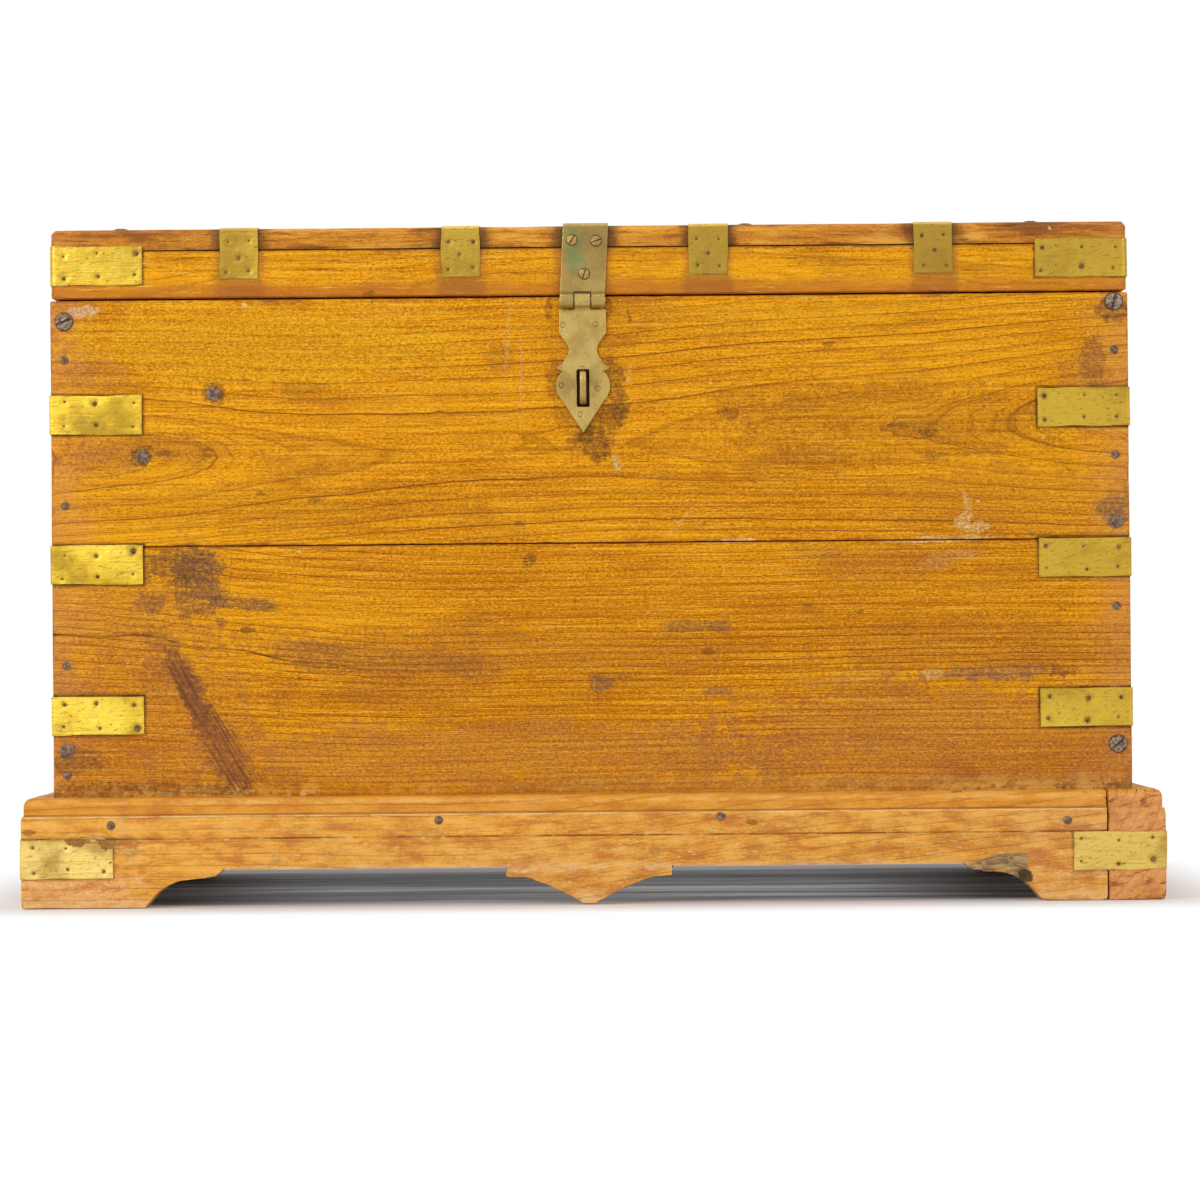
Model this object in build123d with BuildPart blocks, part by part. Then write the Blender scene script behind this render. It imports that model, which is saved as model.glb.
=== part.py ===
from build123d import *
import os

# A teak dowry chest on a moulded plinth, bound with brass corner straps, with a hinged lid,
# a brass hasp over a staple and a carrying handle on each end.
# Millimetres. X runs along the front from left to right, the front faces -Y and +Z is up.
# The origin is on the floor under the middle of the chest.

os.makedirs("parts", exist_ok=True)

# ---- driving sizes: carcase ----
carcase_width = 810.0
carcase_depth = 400.0
carcase_rise = 372.8  # height of the walls that shows above the plinth
wall = 22.0  # front, back and side boards
front_joint_rise = 187.5  # plinth top to the joint between the two front boards
back_joint_rise = 176.0
side_joint_rise = 181.0
carcase_corner_round = 1.6
joint_round = 0.7  # softened long edges where two boards meet
rim_round = 1.2

# ---- driving sizes: plinth ----
plinth_overhang = 21.5
plinth_height = 82.5
plinth_board = 43.5
rebate_depth = 32.5  # the walls stand this far down inside the plinth
nose_height = 12.8  # moulded top edge
nose_round = 5.5
nose_setback = 1.8
nose_slope = 1.0  # height of the slope up to the nose
plinth_corner_round = 1.8
foot_length = 93.0
foot_curve_length = 26.0  # along the floor, from the foot's tip to the shoulder
foot_curve_middle = 11.0  # where the curve passes foot_curve_rise, from the foot's tip
foot_curve_rise = 12.8
arch_shoulder_height = 23.0
arch_shoulder_dip = 3.0  # the shoulder is this much lower at the foot's curve
arch_height = 28.0
arch_step = 32.0  # length of the shallow shoulder between the foot curve and the flat
arch_step_slope = 6.0  # the step up to the flat leans this much
pendant_half_width = 62.0
pendant_shoulder_height = 21.0
pendant_offset = -3.0  # the pendant hangs a little left of the middle
pendant_hip_length = 14.0  # the nearly level edge below each end of the pendant
pendant_hip_dip = 0.8
pendant_curve_half_width = 26.0  # half width where the side is pendant_curve_drop lower
pendant_curve_drop = 9.0
pendant_nose_half_width = 8.0
pendant_nose_height = 2.6
pendant_tip_half_width = 5.0
pendant_tip_height = 0.6
corner_block_leg = 38.0
corner_block_height = 34.0

# ---- driving sizes: bottom and till ----
bottom_board = 16.0
bottom_gap = 1.0  # shrinkage gap between neighbouring bottom boards
bottom_board_count = 3
cleat_width = 20.0
cleat_height = 16.5
cleat_bevel = 1.5
till_inner_width = 95.0
till_board = 12.0
till_depth = 112.0  # inside depth from the rim
till_wall_drop = 1.0  # rim to the till wall's top
till_wall_round = 3.0

# ---- driving sizes: lid ----
seam_gap = 0.8
lid_inset = 1.0  # each end of the lid stands back this far from the walls
lid_rail_height = 36.0
lid_board = 16.4
lid_front_board_width = 214.0
lid_corner_round = 3.5
lid_top_round = 4.5
batten_width = 42.0
batten_thickness = 14.0
batten_spacing = 440.0
batten_bevel = 2.5

# ---- driving sizes: brass straps ----
strap_thickness = 1.0
strap_height = 29.0
strap_leg = 69.0
upper_strap_drop = 86.3  # rim of the walls to the centre of the upper corner straps
lower_strap_rise = 61.1  # plinth top to the centre of the lower ones
middle_strap_lift = 0.2  # the middle ones lie this much above halfway
plinth_strap_height = 37.2
lid_strap_drop = 27.3  # lid top to the centre of a lid corner strap
edge_strap_width = 29.0
edge_strap_centres = (-262.5, -96.0, 90.0, 259.0)
edge_strap_front_leg = 38.0
edge_strap_top_leg = 62.0
strap_nail_head = 4.4
strap_nail_crown = 0.7
strap_nail_shank = 1.5
strap_nail_length = 8.0
strap_nail_inset = 6.0
strap_nail_corner_inset = 10.0  # from the corner to the nearest nails

# ---- driving sizes: hasp and staple ----
hasp_centre = -4.8
hasp_plate_width = 34.0
hasp_plate_lean = 2.8  # the plate's top stands this far right of its knuckles
hasp_plate_top_leg = 32.0
hasp_sheet = 2.0
hasp_knuckle_radius = 5.5
hasp_axis_drop = 3.8  # below the rim of the walls
hasp_pin_radius = 2.0
hasp_pin_overhang = 0.6
hasp_pin_round = 0.5
hasp_centre_knuckle = 12.2
hasp_neck_length = 24.0  # straight sides below the knuckle
hasp_neck_half_width = 17.6
hasp_waist_drop = 36.5
hasp_waist_half_width = 10.6
hasp_horn_drop = 49.4
hasp_horn_half_width = 19.8
hasp_notch_drop = 52.8
hasp_notch_half_width = 15.2
hasp_lobe_drop = 62.5
hasp_lobe_half_width = 20.2
hasp_tip_drop = 99.0
hasp_shoulder = (2.6, 6.4)  # outside the waist and below the neck's straight sides
hasp_flare = (3.0, 7.0)  # outside and below the waist
hasp_horn_hollow = (4.4, 2.6)  # inside and above the horn's point
hasp_horn_blunt = (0.6, 1.8)  # inside and below the horn's point
hasp_tail = (0.6, 12.0)  # outside the notch and below the lobe's widest place
hasp_leaf_gap = 1.0  # between the knuckle and the straight sides' upper end
slot_width = 9.4
slot_top_drop = 51.5
slot_length = 28.0
slot_corner_round = 1.2
staple_bar = 5.0
staple_height = 24.4
staple_projection = 20.0
staple_clench = 14.0
staple_inner_bend = 1.5
staple_bar_round = 1.2

# ---- driving sizes: rear hinges ----
hinge_centre_offset = 235.0
hinge_width = 66.0
hinge_sheet = 2.0
hinge_knuckle_radius = 5.0
hinge_pin_radius = 2.2
hinge_lower_leaf = 92.0
hinge_upper_leaf = 44.0
hinge_centre_knuckle = 24.0
hinge_edge_gap = 1.0  # each leaf stands back this far from the seam
hinge_corner_round = 6.0
hinge_web_height = 12.0  # metal between a knuckle and its leaf, from the seam
hinge_pin_overhang = 0.8
hinge_pin_round = 0.6
hinge_screw_inset = 11.0
hinge_screw_top_drop = 30.0  # rim to the chest leaf's upper screws
hinge_screw_top_inset = 10.0  # on the lid's leaf
hinge_screw_stagger = 8.0

# ---- driving sizes: handles ----
handle_height = 330.0
handle_plate_length = 132.0
handle_plate_height = 26.0
handle_plate_sheet = 2.5
handle_ear_offset = 45.0
handle_ear_thickness = 5.0
handle_ear_radius = 6.5
handle_stand_off = 9.0  # side wall to the bail's turning axis
bail_radius = 3.5
bail_drop = 48.0
bail_bend = 11.0
bail_end_bend = 0.2  # how much wider than the bar its ends are turned in
bail_end_overhang = 1.5  # the turned ends stand this far through the ears
handle_plate_corner_round = 8.0
handle_plate_edge_round = 0.8
handle_screw_end_inset = 7.0
handle_screw_middle_offset = 22.0

# ---- driving sizes: screws and nails ----
large_head_radius = 7.0
medium_head_radius = 5.6
small_head_radius = 3.2
hasp_head_radius = 4.5
hardware_head_radius = 3.8

# ---- named clearances ----
knuckle_gap = 0.4  # between neighbouring knuckles
wall_gap = 0.4  # between a turning knuckle and the wood beside it
pin_fit = 0.05  # radial, where a knuckle turns on its pin
notch_gap = 0.6  # around the hasp's centre knuckle

# ---- levels and faces worked out from the sizes above ----
half_width = carcase_width / 2
half_depth = carcase_depth / 2
plinth_half_width = half_width + plinth_overhang
plinth_half_depth = half_depth + plinth_overhang
walls_bottom = plinth_height - rebate_depth
rim = plinth_height + carcase_rise
front_joint = plinth_height + front_joint_rise
back_joint = plinth_height + back_joint_rise
side_joint = plinth_height + side_joint_rise
lid_bottom = rim + seam_gap
lid_joint = lid_bottom + lid_rail_height
lid_top = lid_joint + lid_board
lid_half_width = half_width - lid_inset
inner_half_width = half_width - wall
inner_half_depth = half_depth - wall
bottom_underside = walls_bottom + cleat_height
bottom_top = bottom_underside + bottom_board

upper_strap = rim - upper_strap_drop
lower_strap = plinth_height + lower_strap_rise
middle_strap = (upper_strap + lower_strap) / 2 + middle_strap_lift

hasp_axis_y = -half_depth - wall_gap - hasp_knuckle_radius
hasp_axis_z = rim - hasp_axis_drop
hinge_axis_y = half_depth + wall_gap + hinge_knuckle_radius
hinge_axis_z = rim + seam_gap / 2


def slab(low, high):
    """A plain box between two corners, kept out of any open part."""
    size = [b - a for a, b in zip(low, high)]
    middle = [(a + b) / 2 for a, b in zip(low, high)]
    return Pos(*middle) * Box(*size, mode=Mode.PRIVATE)


def finish(part, label):
    """Names a finished piece and writes it."""
    part.label = label
    export_step(part, f"parts/{label}.step")


def edges_at(part, direction, *places):
    """The part's straight edges along one axis that lie at the given places on another axis."""
    chosen = part.edges().filter_by(direction)
    kept = ShapeList()
    for axis, place in places:
        for edge in chosen:
            centre = edge.center()
            value = {Axis.X: centre.X, Axis.Y: centre.Y, Axis.Z: centre.Z}[axis]
            if abs(value - place) < 1e-4:
                kept.append(edge)
    return kept


# =====================================================================================
# Plinth: four boards butted round the corners, each with one end covered and one showing
# =====================================================================================


def arch_outline(half_span, pendant):
    """The cut-out under a board, from one foot to the other, with or without a pendant."""
    curve_end = half_span - foot_curve_length
    flat_end = curve_end - arch_step
    right_foot = (
        (half_span, 0),
        (curve_end, arch_shoulder_height - arch_shoulder_dip),
        (flat_end + arch_step_slope, arch_shoulder_height),
        (flat_end, arch_height),
    )
    foot_middle = half_span - foot_curve_middle
    with BuildLine() as edge:
        Line((-half_span, -1), (half_span, -1))
        for side in (1, -1):
            foot = [(side * x, z) for x, z in right_foot]
            Line((side * half_span, -1), foot[0])
            ThreePointArc(foot[0], (side * foot_middle, foot_curve_rise), foot[1])
            Line(foot[1], foot[2])
            Line(foot[2], foot[3])
        if pendant:
            for side in (1, -1):
                shoulder = (side * pendant_half_width, pendant_shoulder_height)
                hip = (
                    side * (pendant_half_width - pendant_hip_length),
                    pendant_shoulder_height - pendant_hip_dip,
                )
                waist = (
                    side * pendant_curve_half_width,
                    pendant_shoulder_height - pendant_curve_drop,
                )
                nose = (side * pendant_nose_half_width, pendant_nose_height)
                tip = (side * pendant_tip_half_width, pendant_tip_height)
                shoulder, hip, waist, nose, tip = [
                    (pendant_offset + x, z) for x, z in (shoulder, hip, waist, nose, tip)
                ]
                Line((side * flat_end, arch_height), (shoulder[0], arch_height))
                Line((shoulder[0], arch_height), shoulder)
                Line(shoulder, hip)
                ThreePointArc(hip, waist, nose)
                Line(nose, tip)
            Line(
                (pendant_offset - pendant_tip_half_width, pendant_tip_height),
                (pendant_offset + pendant_tip_half_width, pendant_tip_height),
            )
        else:
            Line((-flat_end, arch_height), (flat_end, arch_height))
    return edge.line


front_half_span = plinth_half_width - foot_length
side_half_span = plinth_half_depth - foot_length

# The four boards are moulded and cut as one ring, and then parted at their butt joints.
with BuildPart() as ring:
    with BuildSketch():
        Rectangle(2 * plinth_half_width, 2 * plinth_half_depth)
    extrude(amount=plinth_height - nose_height)
    chamfer(ring.edges().group_by(Axis.Z)[-1], length=nose_slope, length2=nose_setback)
    with BuildSketch(Plane.XY.offset(plinth_height - nose_height)):
        Rectangle(
            2 * (plinth_half_width - nose_setback),
            2 * (plinth_half_depth - nose_setback),
        )
    extrude(amount=nose_height)
    fillet(ring.edges().group_by(Axis.Z)[-1], nose_round)
    fillet(ring.edges().filter_by(Axis.Z).group_by(Axis.Z)[0], plinth_corner_round)
    with BuildSketch():
        Rectangle(
            2 * (plinth_half_width - plinth_board),
            2 * (plinth_half_depth - plinth_board),
        )
    extrude(amount=plinth_height, mode=Mode.SUBTRACT)
    with BuildSketch(Plane.XY.offset(walls_bottom)):
        Rectangle(carcase_width, carcase_depth)
    extrude(amount=rebate_depth, mode=Mode.SUBTRACT)
    for board_plane, half_span, pendant in (
        (Plane.XZ.offset(plinth_half_depth + 1), front_half_span, True),
        (Plane.XZ.offset(-plinth_half_depth + plinth_board + 1), front_half_span, False),
        (Plane.YZ.offset(plinth_half_width + 1), side_half_span, False),
        (Plane.YZ.offset(-plinth_half_width + plinth_board + 1), side_half_span, False),
    ):
        with BuildSketch(board_plane):
            with BuildLine():
                add(arch_outline(half_span, pendant))
            make_face()
        extrude(amount=-plinth_board - 2, mode=Mode.SUBTRACT)

# The front board covers the left board's end and stops against the right board, whose end
# shows; the other corners follow round in the same way.
out_x = plinth_half_width + 1
out_y = plinth_half_depth + 1
in_x = plinth_half_width - plinth_board
in_y = plinth_half_depth - plinth_board
for name, low, high in (
    ("front", (-out_x, -out_y), (in_x, -in_y)),
    ("right", (in_x, -out_y), (out_x, in_y)),
    ("back", (-in_x, in_y), (out_x, out_y)),
    ("left", (-out_x, -in_y), (-in_x, out_y)),
):
    stretch = slab((*low, -1), (*high, plinth_height + 1))
    with BuildPart() as board:
        add(ring.part)
        add(stretch, mode=Mode.INTERSECT)
    finish(board.part, f"plinth_{name}")

with BuildPart() as plinth_corner_blocks:
    block_x = plinth_half_width - plinth_board
    block_y = plinth_half_depth - plinth_board
    with BuildSketch(Plane.XY.offset(walls_bottom - corner_block_height)):
        for sx in (-1, 1):
            for sy in (-1, 1):
                with BuildLine():
                    Polyline(
                        (sx * block_x, sy * block_y),
                        (sx * (block_x - corner_block_leg), sy * block_y),
                        (sx * block_x, sy * (block_y - corner_block_leg)),
                        (sx * block_x, sy * block_y),
                    )
                make_face()
    extrude(amount=corner_block_height)
finish(plinth_corner_blocks.part, "plinth_corner_blocks")

# =====================================================================================
# Carcase: two boards to a wall, the front and back lapping over the ends of the sides
# =====================================================================================


def wall_board(low, high, label, corner_face=None, soft_top=joint_round, soft_bottom=None):
    """A wall board with softened long outer edges and, at the ends, rounded corners."""
    with BuildPart() as board:
        add(slab(low, high))
        if corner_face is not None:
            upright = edges_at(board, Axis.Z, (Axis.Y, corner_face))
            fillet(upright, carcase_corner_round)
        top_outer = board.edges().group_by(Axis.Z)[-1]
        fillet(top_outer, soft_top)
        if soft_bottom:
            fillet(board.edges().group_by(Axis.Z)[0], soft_bottom)
    finish(board.part, label)


for name, face, joint in (("front", -1, front_joint), ("back", 1, back_joint)):
    outer_y = face * half_depth
    inner_y = face * inner_half_depth
    y_low, y_high = sorted((outer_y, inner_y))
    wall_board(
        (-half_width, y_low, walls_bottom),
        (half_width, y_high, joint),
        f"carcase_{name}_lower",
        corner_face=outer_y,
    )
    wall_board(
        (-half_width, y_low, joint),
        (half_width, y_high, rim),
        f"carcase_{name}_upper",
        corner_face=outer_y,
        soft_top=rim_round,
        soft_bottom=joint_round,
    )

for name, face in (("left", -1), ("right", 1)):
    x_low, x_high = sorted((face * half_width, face * inner_half_width))
    wall_board(
        (x_low, -inner_half_depth, walls_bottom),
        (x_high, inner_half_depth, side_joint),
        f"carcase_{name}_lower",
    )
    wall_board(
        (x_low, -inner_half_depth, side_joint),
        (x_high, inner_half_depth, rim),
        f"carcase_{name}_upper",
        soft_top=rim_round,
        soft_bottom=joint_round,
    )

# Bottom boards lie lengthwise on two cleats.
bottom_span = 2 * inner_half_depth
bottom_width = (bottom_span - bottom_gap * (bottom_board_count - 1)) / bottom_board_count
for number, name in enumerate(("front", "middle", "back")[:bottom_board_count]):
    y_start = -inner_half_depth + number * (bottom_width + bottom_gap)
    with BuildPart() as bottom:
        add(
            slab(
                (-inner_half_width, y_start, bottom_underside),
                (inner_half_width, y_start + bottom_width, bottom_top),
            )
        )
        fillet(bottom.edges().filter_by(Axis.X).group_by(Axis.Z)[-1], joint_round)
    finish(bottom.part, f"bottom_board_{name}")

for name, face in (("front", -1), ("back", 1)):
    y_low, y_high = sorted((face * inner_half_depth, face * (inner_half_depth - cleat_width)))
    with BuildPart() as cleat:
        add(
            slab(
                (-inner_half_width, y_low, walls_bottom),
                (inner_half_width, y_high, bottom_underside),
            )
        )
        chamfer(cleat.edges().filter_by(Axis.X).group_by(Axis.Z)[0], cleat_bevel)
    finish(cleat.part, f"bottom_cleat_{name}")

# An open till for small things runs from front to back at the left end.
till_floor = rim - till_depth
till_face = -inner_half_width + till_inner_width
with BuildPart() as till_bottom:
    add(
        slab(
            (-inner_half_width, -inner_half_depth, till_floor - till_board),
            (till_face, inner_half_depth, till_floor),
        )
    )
finish(till_bottom.part, "till_bottom")

with BuildPart() as till_wall:
    add(
        slab(
            (till_face, -inner_half_depth, till_floor - till_board),
            (till_face + till_board, inner_half_depth, rim - till_wall_drop),
        )
    )
    fillet(till_wall.edges().filter_by(Axis.Y).group_by(Axis.Z)[-1], till_wall_round)
finish(till_wall.part, "till_wall")

# =====================================================================================
# Lid: two top boards on a frame of rails, with two battens underneath
# =====================================================================================

for name, face in (("front", -1), ("back", 1)):
    y_low, y_high = sorted((face * half_depth, face * inner_half_depth))
    with BuildPart() as rail:
        add(slab((-lid_half_width, y_low, lid_bottom), (lid_half_width, y_high, lid_joint)))
        fillet(edges_at(rail, Axis.Z, (Axis.Y, face * half_depth)), lid_corner_round)
        fillet(rail.edges().group_by(Axis.Z)[0], rim_round)
        fillet(rail.edges().group_by(Axis.Z)[-1], joint_round / 2)
    finish(rail.part, f"lid_rail_{name}")

for name, face in (("left", -1), ("right", 1)):
    x_low, x_high = sorted((face * lid_half_width, face * (lid_half_width - wall)))
    with BuildPart() as rail:
        add(slab((x_low, -inner_half_depth, lid_bottom), (x_high, inner_half_depth, lid_joint)))
        fillet(rail.edges().filter_by(Axis.Y).group_by(Axis.Z)[0], rim_round)
    finish(rail.part, f"lid_rail_{name}")

lid_split = -half_depth + lid_front_board_width
for name, face, y_low, y_high in (
    ("front", -1, -half_depth, lid_split),
    ("back", 1, lid_split, half_depth),
):
    with BuildPart() as lid_panel:
        add(slab((-lid_half_width, y_low, lid_joint), (lid_half_width, y_high, lid_top)))
        fillet(edges_at(lid_panel, Axis.Z, (Axis.Y, face * half_depth)), lid_corner_round)
        top_edges = lid_panel.edges().group_by(Axis.Z)[-1]
        split_edges = [e for e in top_edges if abs(e.center().Y - lid_split) < 1e-4]
        fillet([e for e in top_edges if e not in split_edges], lid_top_round)
        fillet(edges_at(lid_panel, Axis.X, (Axis.Y, lid_split)), joint_round)
    finish(lid_panel.part, f"lid_board_{name}")

for name, face in (("left", -1), ("right", 1)):
    centre = face * batten_spacing / 2
    with BuildPart() as batten:
        add(
            slab(
                (centre - batten_width / 2, -inner_half_depth, lid_joint - batten_thickness),
                (centre + batten_width / 2, inner_half_depth, lid_joint),
            )
        )
        chamfer(batten.edges().filter_by(Axis.Y).group_by(Axis.Z)[0], batten_bevel)
    finish(batten.part, f"lid_batten_{name}")

# =====================================================================================
# Brass straps and their nails
# =====================================================================================


def corner_strap(half_x, half_y, round_inside, centre_z, sx, sy):
    """A strap bent round the corner at (sx, sy), lying on both faces."""
    corner = (half_x, half_y)
    leg = strap_leg
    t = strap_thickness
    with BuildPart() as strap:
        with BuildSketch(Plane.XY.offset(centre_z - strap_height / 2)):
            with BuildLine():
                bend = FilletPolyline(
                    (corner[0] - leg, corner[1] + t / 2),
                    (corner[0] + t / 2, corner[1] + t / 2),
                    (corner[0] + t / 2, corner[1] - leg),
                    radius=round_inside + t / 2,
                )
                offset(bend, amount=t / 2, kind=Kind.INTERSECTION, side=Side.BOTH)
            make_face()
        extrude(amount=strap_height)
    shape = strap.part
    if sx < 0:
        shape = shape.mirror(Plane.YZ)
    if sy < 0:
        shape = shape.mirror(Plane.XZ)
    return shape


def nail(head_radius, crown, shank_radius, length, slot=0.0):
    """A nail or screw driven along -Z, its head resting on Z = 0, with a slot if one is asked."""
    with BuildPart() as fastener:
        with BuildSketch(Plane.XZ):
            with BuildLine():
                Polyline(
                    (0, crown),
                    (0, -length),
                    (shank_radius, -length + 2 * shank_radius),
                    (shank_radius, 0),
                    (head_radius, 0),
                    (head_radius, crown * 0.3),
                )
                ThreePointArc(
                    (head_radius, crown * 0.3),
                    (head_radius * 0.75, crown * 0.8),
                    (head_radius * 0.4, crown),
                )
                Line((head_radius * 0.4, crown), (0, crown))
            make_face()
        revolve(axis=Axis.Z)
        if slot:
            with Locations((0, 0, crown)):
                Box(3 * head_radius, slot, crown * 1.1, mode=Mode.SUBTRACT)
    return fastener.part


strap_nail = nail(strap_nail_head / 2, strap_nail_crown, strap_nail_shank / 2, strap_nail_length)
outward = {
    "front": Vector(0, -1, 0),
    "back": Vector(0, 1, 0),
    "left": Vector(-1, 0, 0),
    "right": Vector(1, 0, 0),
    "top": Vector(0, 0, 1),
}


def seat(x, y, z, side, turn=0.0):
    """Where a fastener goes: its head on (x, y, z), standing out of the named side."""
    along = Vector(0, 1, 0) if side in ("left", "right") else Vector(1, 0, 0)
    plane = Plane(origin=(x, y, z), x_dir=along, z_dir=outward[side])
    return plane.location * Rot(0, 0, turn)


def corner_nail_seats(half_x, half_y, centre_z, sx, sy):
    """Six nails on each leg of a corner strap, in two rows."""
    seats = []
    row = strap_height / 2 - strap_nail_inset
    steps = (strap_nail_corner_inset, strap_leg / 2, strap_leg - strap_nail_inset)
    for step in steps:
        for z in (centre_z - row, centre_z + row):
            face_y = sy * (half_y + strap_thickness)
            face_x = sx * (half_x + strap_thickness)
            front_or_back = "front" if sy < 0 else "back"
            left_or_right = "left" if sx < 0 else "right"
            seats.append(seat(sx * (half_x - step), face_y, z, front_or_back))
            seats.append(seat(face_x, sy * (half_y - step), z, left_or_right))
    return seats


corners = (
    ("front_left", -1, -1),
    ("front_right", 1, -1),
    ("back_left", -1, 1),
    ("back_right", 1, 1),
)
chest_nail_seats = []
lid_nail_seats = []
for name, sx, sy in corners:
    bent = []
    for z in (upper_strap, middle_strap, lower_strap):
        bent.append(corner_strap(half_width, half_depth, carcase_corner_round, z, sx, sy))
        chest_nail_seats += corner_nail_seats(half_width, half_depth, z, sx, sy)
    plinth_at = (plinth_half_width, plinth_half_depth)
    bent.append(corner_strap(*plinth_at, plinth_corner_round, plinth_strap_height, sx, sy))
    chest_nail_seats += corner_nail_seats(*plinth_at, plinth_strap_height, sx, sy)
    with BuildPart() as straps:
        add(bent)
    finish(straps.part, f"corner_straps_{name}")

    lid_strap_z = lid_top - lid_strap_drop
    bent = corner_strap(lid_half_width, half_depth, lid_corner_round, lid_strap_z, sx, sy)
    with BuildPart() as lid_strap:
        add(bent)
    lid_nail_seats += corner_nail_seats(lid_half_width, half_depth, lid_strap_z, sx, sy)
    finish(lid_strap.part, f"lid_corner_strap_{name}")


def over_edge_strap(width, front_leg, top_leg, thickness, centre):
    """A strap lying down the lid's front and back over its top."""
    with BuildPart() as strap:
        with BuildSketch(Plane.YZ.offset(centre - width / 2)):
            with BuildLine():
                bend = FilletPolyline(
                    (-half_depth - thickness / 2, lid_top - front_leg),
                    (-half_depth - thickness / 2, lid_top + thickness / 2),
                    (-half_depth + top_leg, lid_top + thickness / 2),
                    radius=lid_top_round + thickness / 2,
                )
                offset(bend, amount=thickness / 2, kind=Kind.INTERSECTION, side=Side.BOTH)
            make_face()
        extrude(amount=width)
    return strap.part


edge_legs = (edge_strap_front_leg, edge_strap_top_leg)
bent = [
    over_edge_strap(edge_strap_width, *edge_legs, strap_thickness, centre)
    for centre in edge_strap_centres
]
with BuildPart() as lid_edge_straps:
    add(bent)
finish(lid_edge_straps.part, "lid_edge_straps")

for centre in edge_strap_centres:
    side = edge_strap_width / 2 - strap_nail_inset
    low = lid_top - edge_strap_front_leg + strap_nail_inset
    high = lid_top - lid_top_round - strap_nail_inset
    front_y = -half_depth - strap_thickness
    for x, z in (
        (-side, low),
        (side, low),
        (-side, high),
        (side, high),
        (0, (low + high) / 2),
    ):
        lid_nail_seats.append(seat(centre + x, front_y, z, "front"))
    near = -half_depth + lid_top_round + strap_nail_inset
    far = -half_depth + edge_strap_top_leg - strap_nail_inset
    top_z = lid_top + strap_thickness
    for x, y in ((-side, near), (side, near), (-side, far), (side, far)):
        lid_nail_seats.append(seat(centre + x, y, top_z, "top"))


def fastener_group(groups, label):
    """Writes driven nails or screws, given as (fastener, seats) pairs, as one node."""
    with BuildPart() as driven:
        for fastener, seats in groups:
            with Locations(*seats):
                add(fastener)
    finish(driven.part, label)


fastener_group([(strap_nail, chest_nail_seats)], "strap_nails_chest")
fastener_group([(strap_nail, lid_nail_seats)], "strap_nails_lid")

# =====================================================================================
# Iron screws and nails of the carcase, plinth and lid
# =====================================================================================

large_screw = nail(large_head_radius, 1.6, 3.0, 46.0, slot=1.8)
medium_nail = nail(medium_head_radius, 1.2, 2.4, 44.0)
small_nail = nail(small_head_radius, 0.8, 1.5, 40.0)
board_nail = nail(medium_head_radius, 1.4, 2.2, 38.0)

end_line = half_width - wall / 2  # the side boards' ends stand behind this line
till_line = till_face + till_board / 2

# Places are (x, z), kept clear of the straps, and a screw's third number turns its slot.
screw_places = (
    (-end_line, rim - 16, 20),
    (end_line, rim - 7.3, 75),
    (end_line, plinth_height + 33.5, 40),
)
medium_places = (
    (till_line, rim - 71),
    (-inner_half_width + till_inner_width / 2, till_floor - till_board / 2),
    (-end_line, plinth_height + 34.5),
    (end_line, middle_strap + 26.5),
)
small_places = (
    (-end_line, rim - 45),
    (-end_line, middle_strap + 44.5),
    (-end_line, lower_strap + 37.4),
    (-end_line, plinth_height + 16.5),
    (end_line, rim - 44),
    (end_line, upper_strap - 36),
    (end_line, middle_strap - 37),
)
plinth_nail_places = (
    (-359, walls_bottom + 12),
    (-115, walls_bottom + 14),
    (95, walls_bottom + 15),
    (353, walls_bottom + 10),
)
lid_nail_offsets = (-352, 118, 333)
lid_nail_inset = 12.0

with BuildPart() as carcase_screws:
    for side, face in (("front", -1), ("back", 1)):
        seats = [seat(x, face * half_depth, z, side, turn) for x, z, turn in screw_places]
        with Locations(*seats):
            add(large_screw)
finish(carcase_screws.part, "carcase_screws")

with BuildPart() as carcase_nails:
    for side, face in (("front", -1), ("back", 1)):
        with Locations(*[seat(x, face * half_depth, z, side) for x, z in medium_places]):
            add(medium_nail)
        with Locations(*[seat(x, face * half_depth, z, side) for x, z in small_places]):
            add(small_nail)
        outer_y = face * plinth_half_depth
        with Locations(*[seat(x, outer_y, z, side) for x, z in plinth_nail_places]):
            add(small_nail)
finish(carcase_nails.part, "carcase_nails")

with BuildPart() as lid_nails:
    for face in (-1, 1):
        y = face * (half_depth - lid_nail_inset)
        with Locations(*[seat(x, y, lid_top, "top") for x in lid_nail_offsets]):
            add(board_nail)
finish(lid_nails.part, "lid_nails")

# =====================================================================================
# Hasp: a plate on the lid, its pin, and the pierced strap that falls over the staple
# =====================================================================================

hasp_half = hasp_plate_width / 2
centre_half = hasp_centre_knuckle / 2
hasp_lug_length = hasp_half - centre_half - knuckle_gap
hasp_eye = Pos(hasp_centre, hasp_axis_y, hasp_axis_z)


def barrel(x_start, x_end, axis_y, axis_z, radius):
    """A solid knuckle along X between two places, kept out of any open part."""
    middle = Pos((x_start + x_end) / 2, axis_y, axis_z)
    return middle * Rot(0, 90, 0) * Cylinder(radius, x_end - x_start, mode=Mode.PRIVATE)


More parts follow.
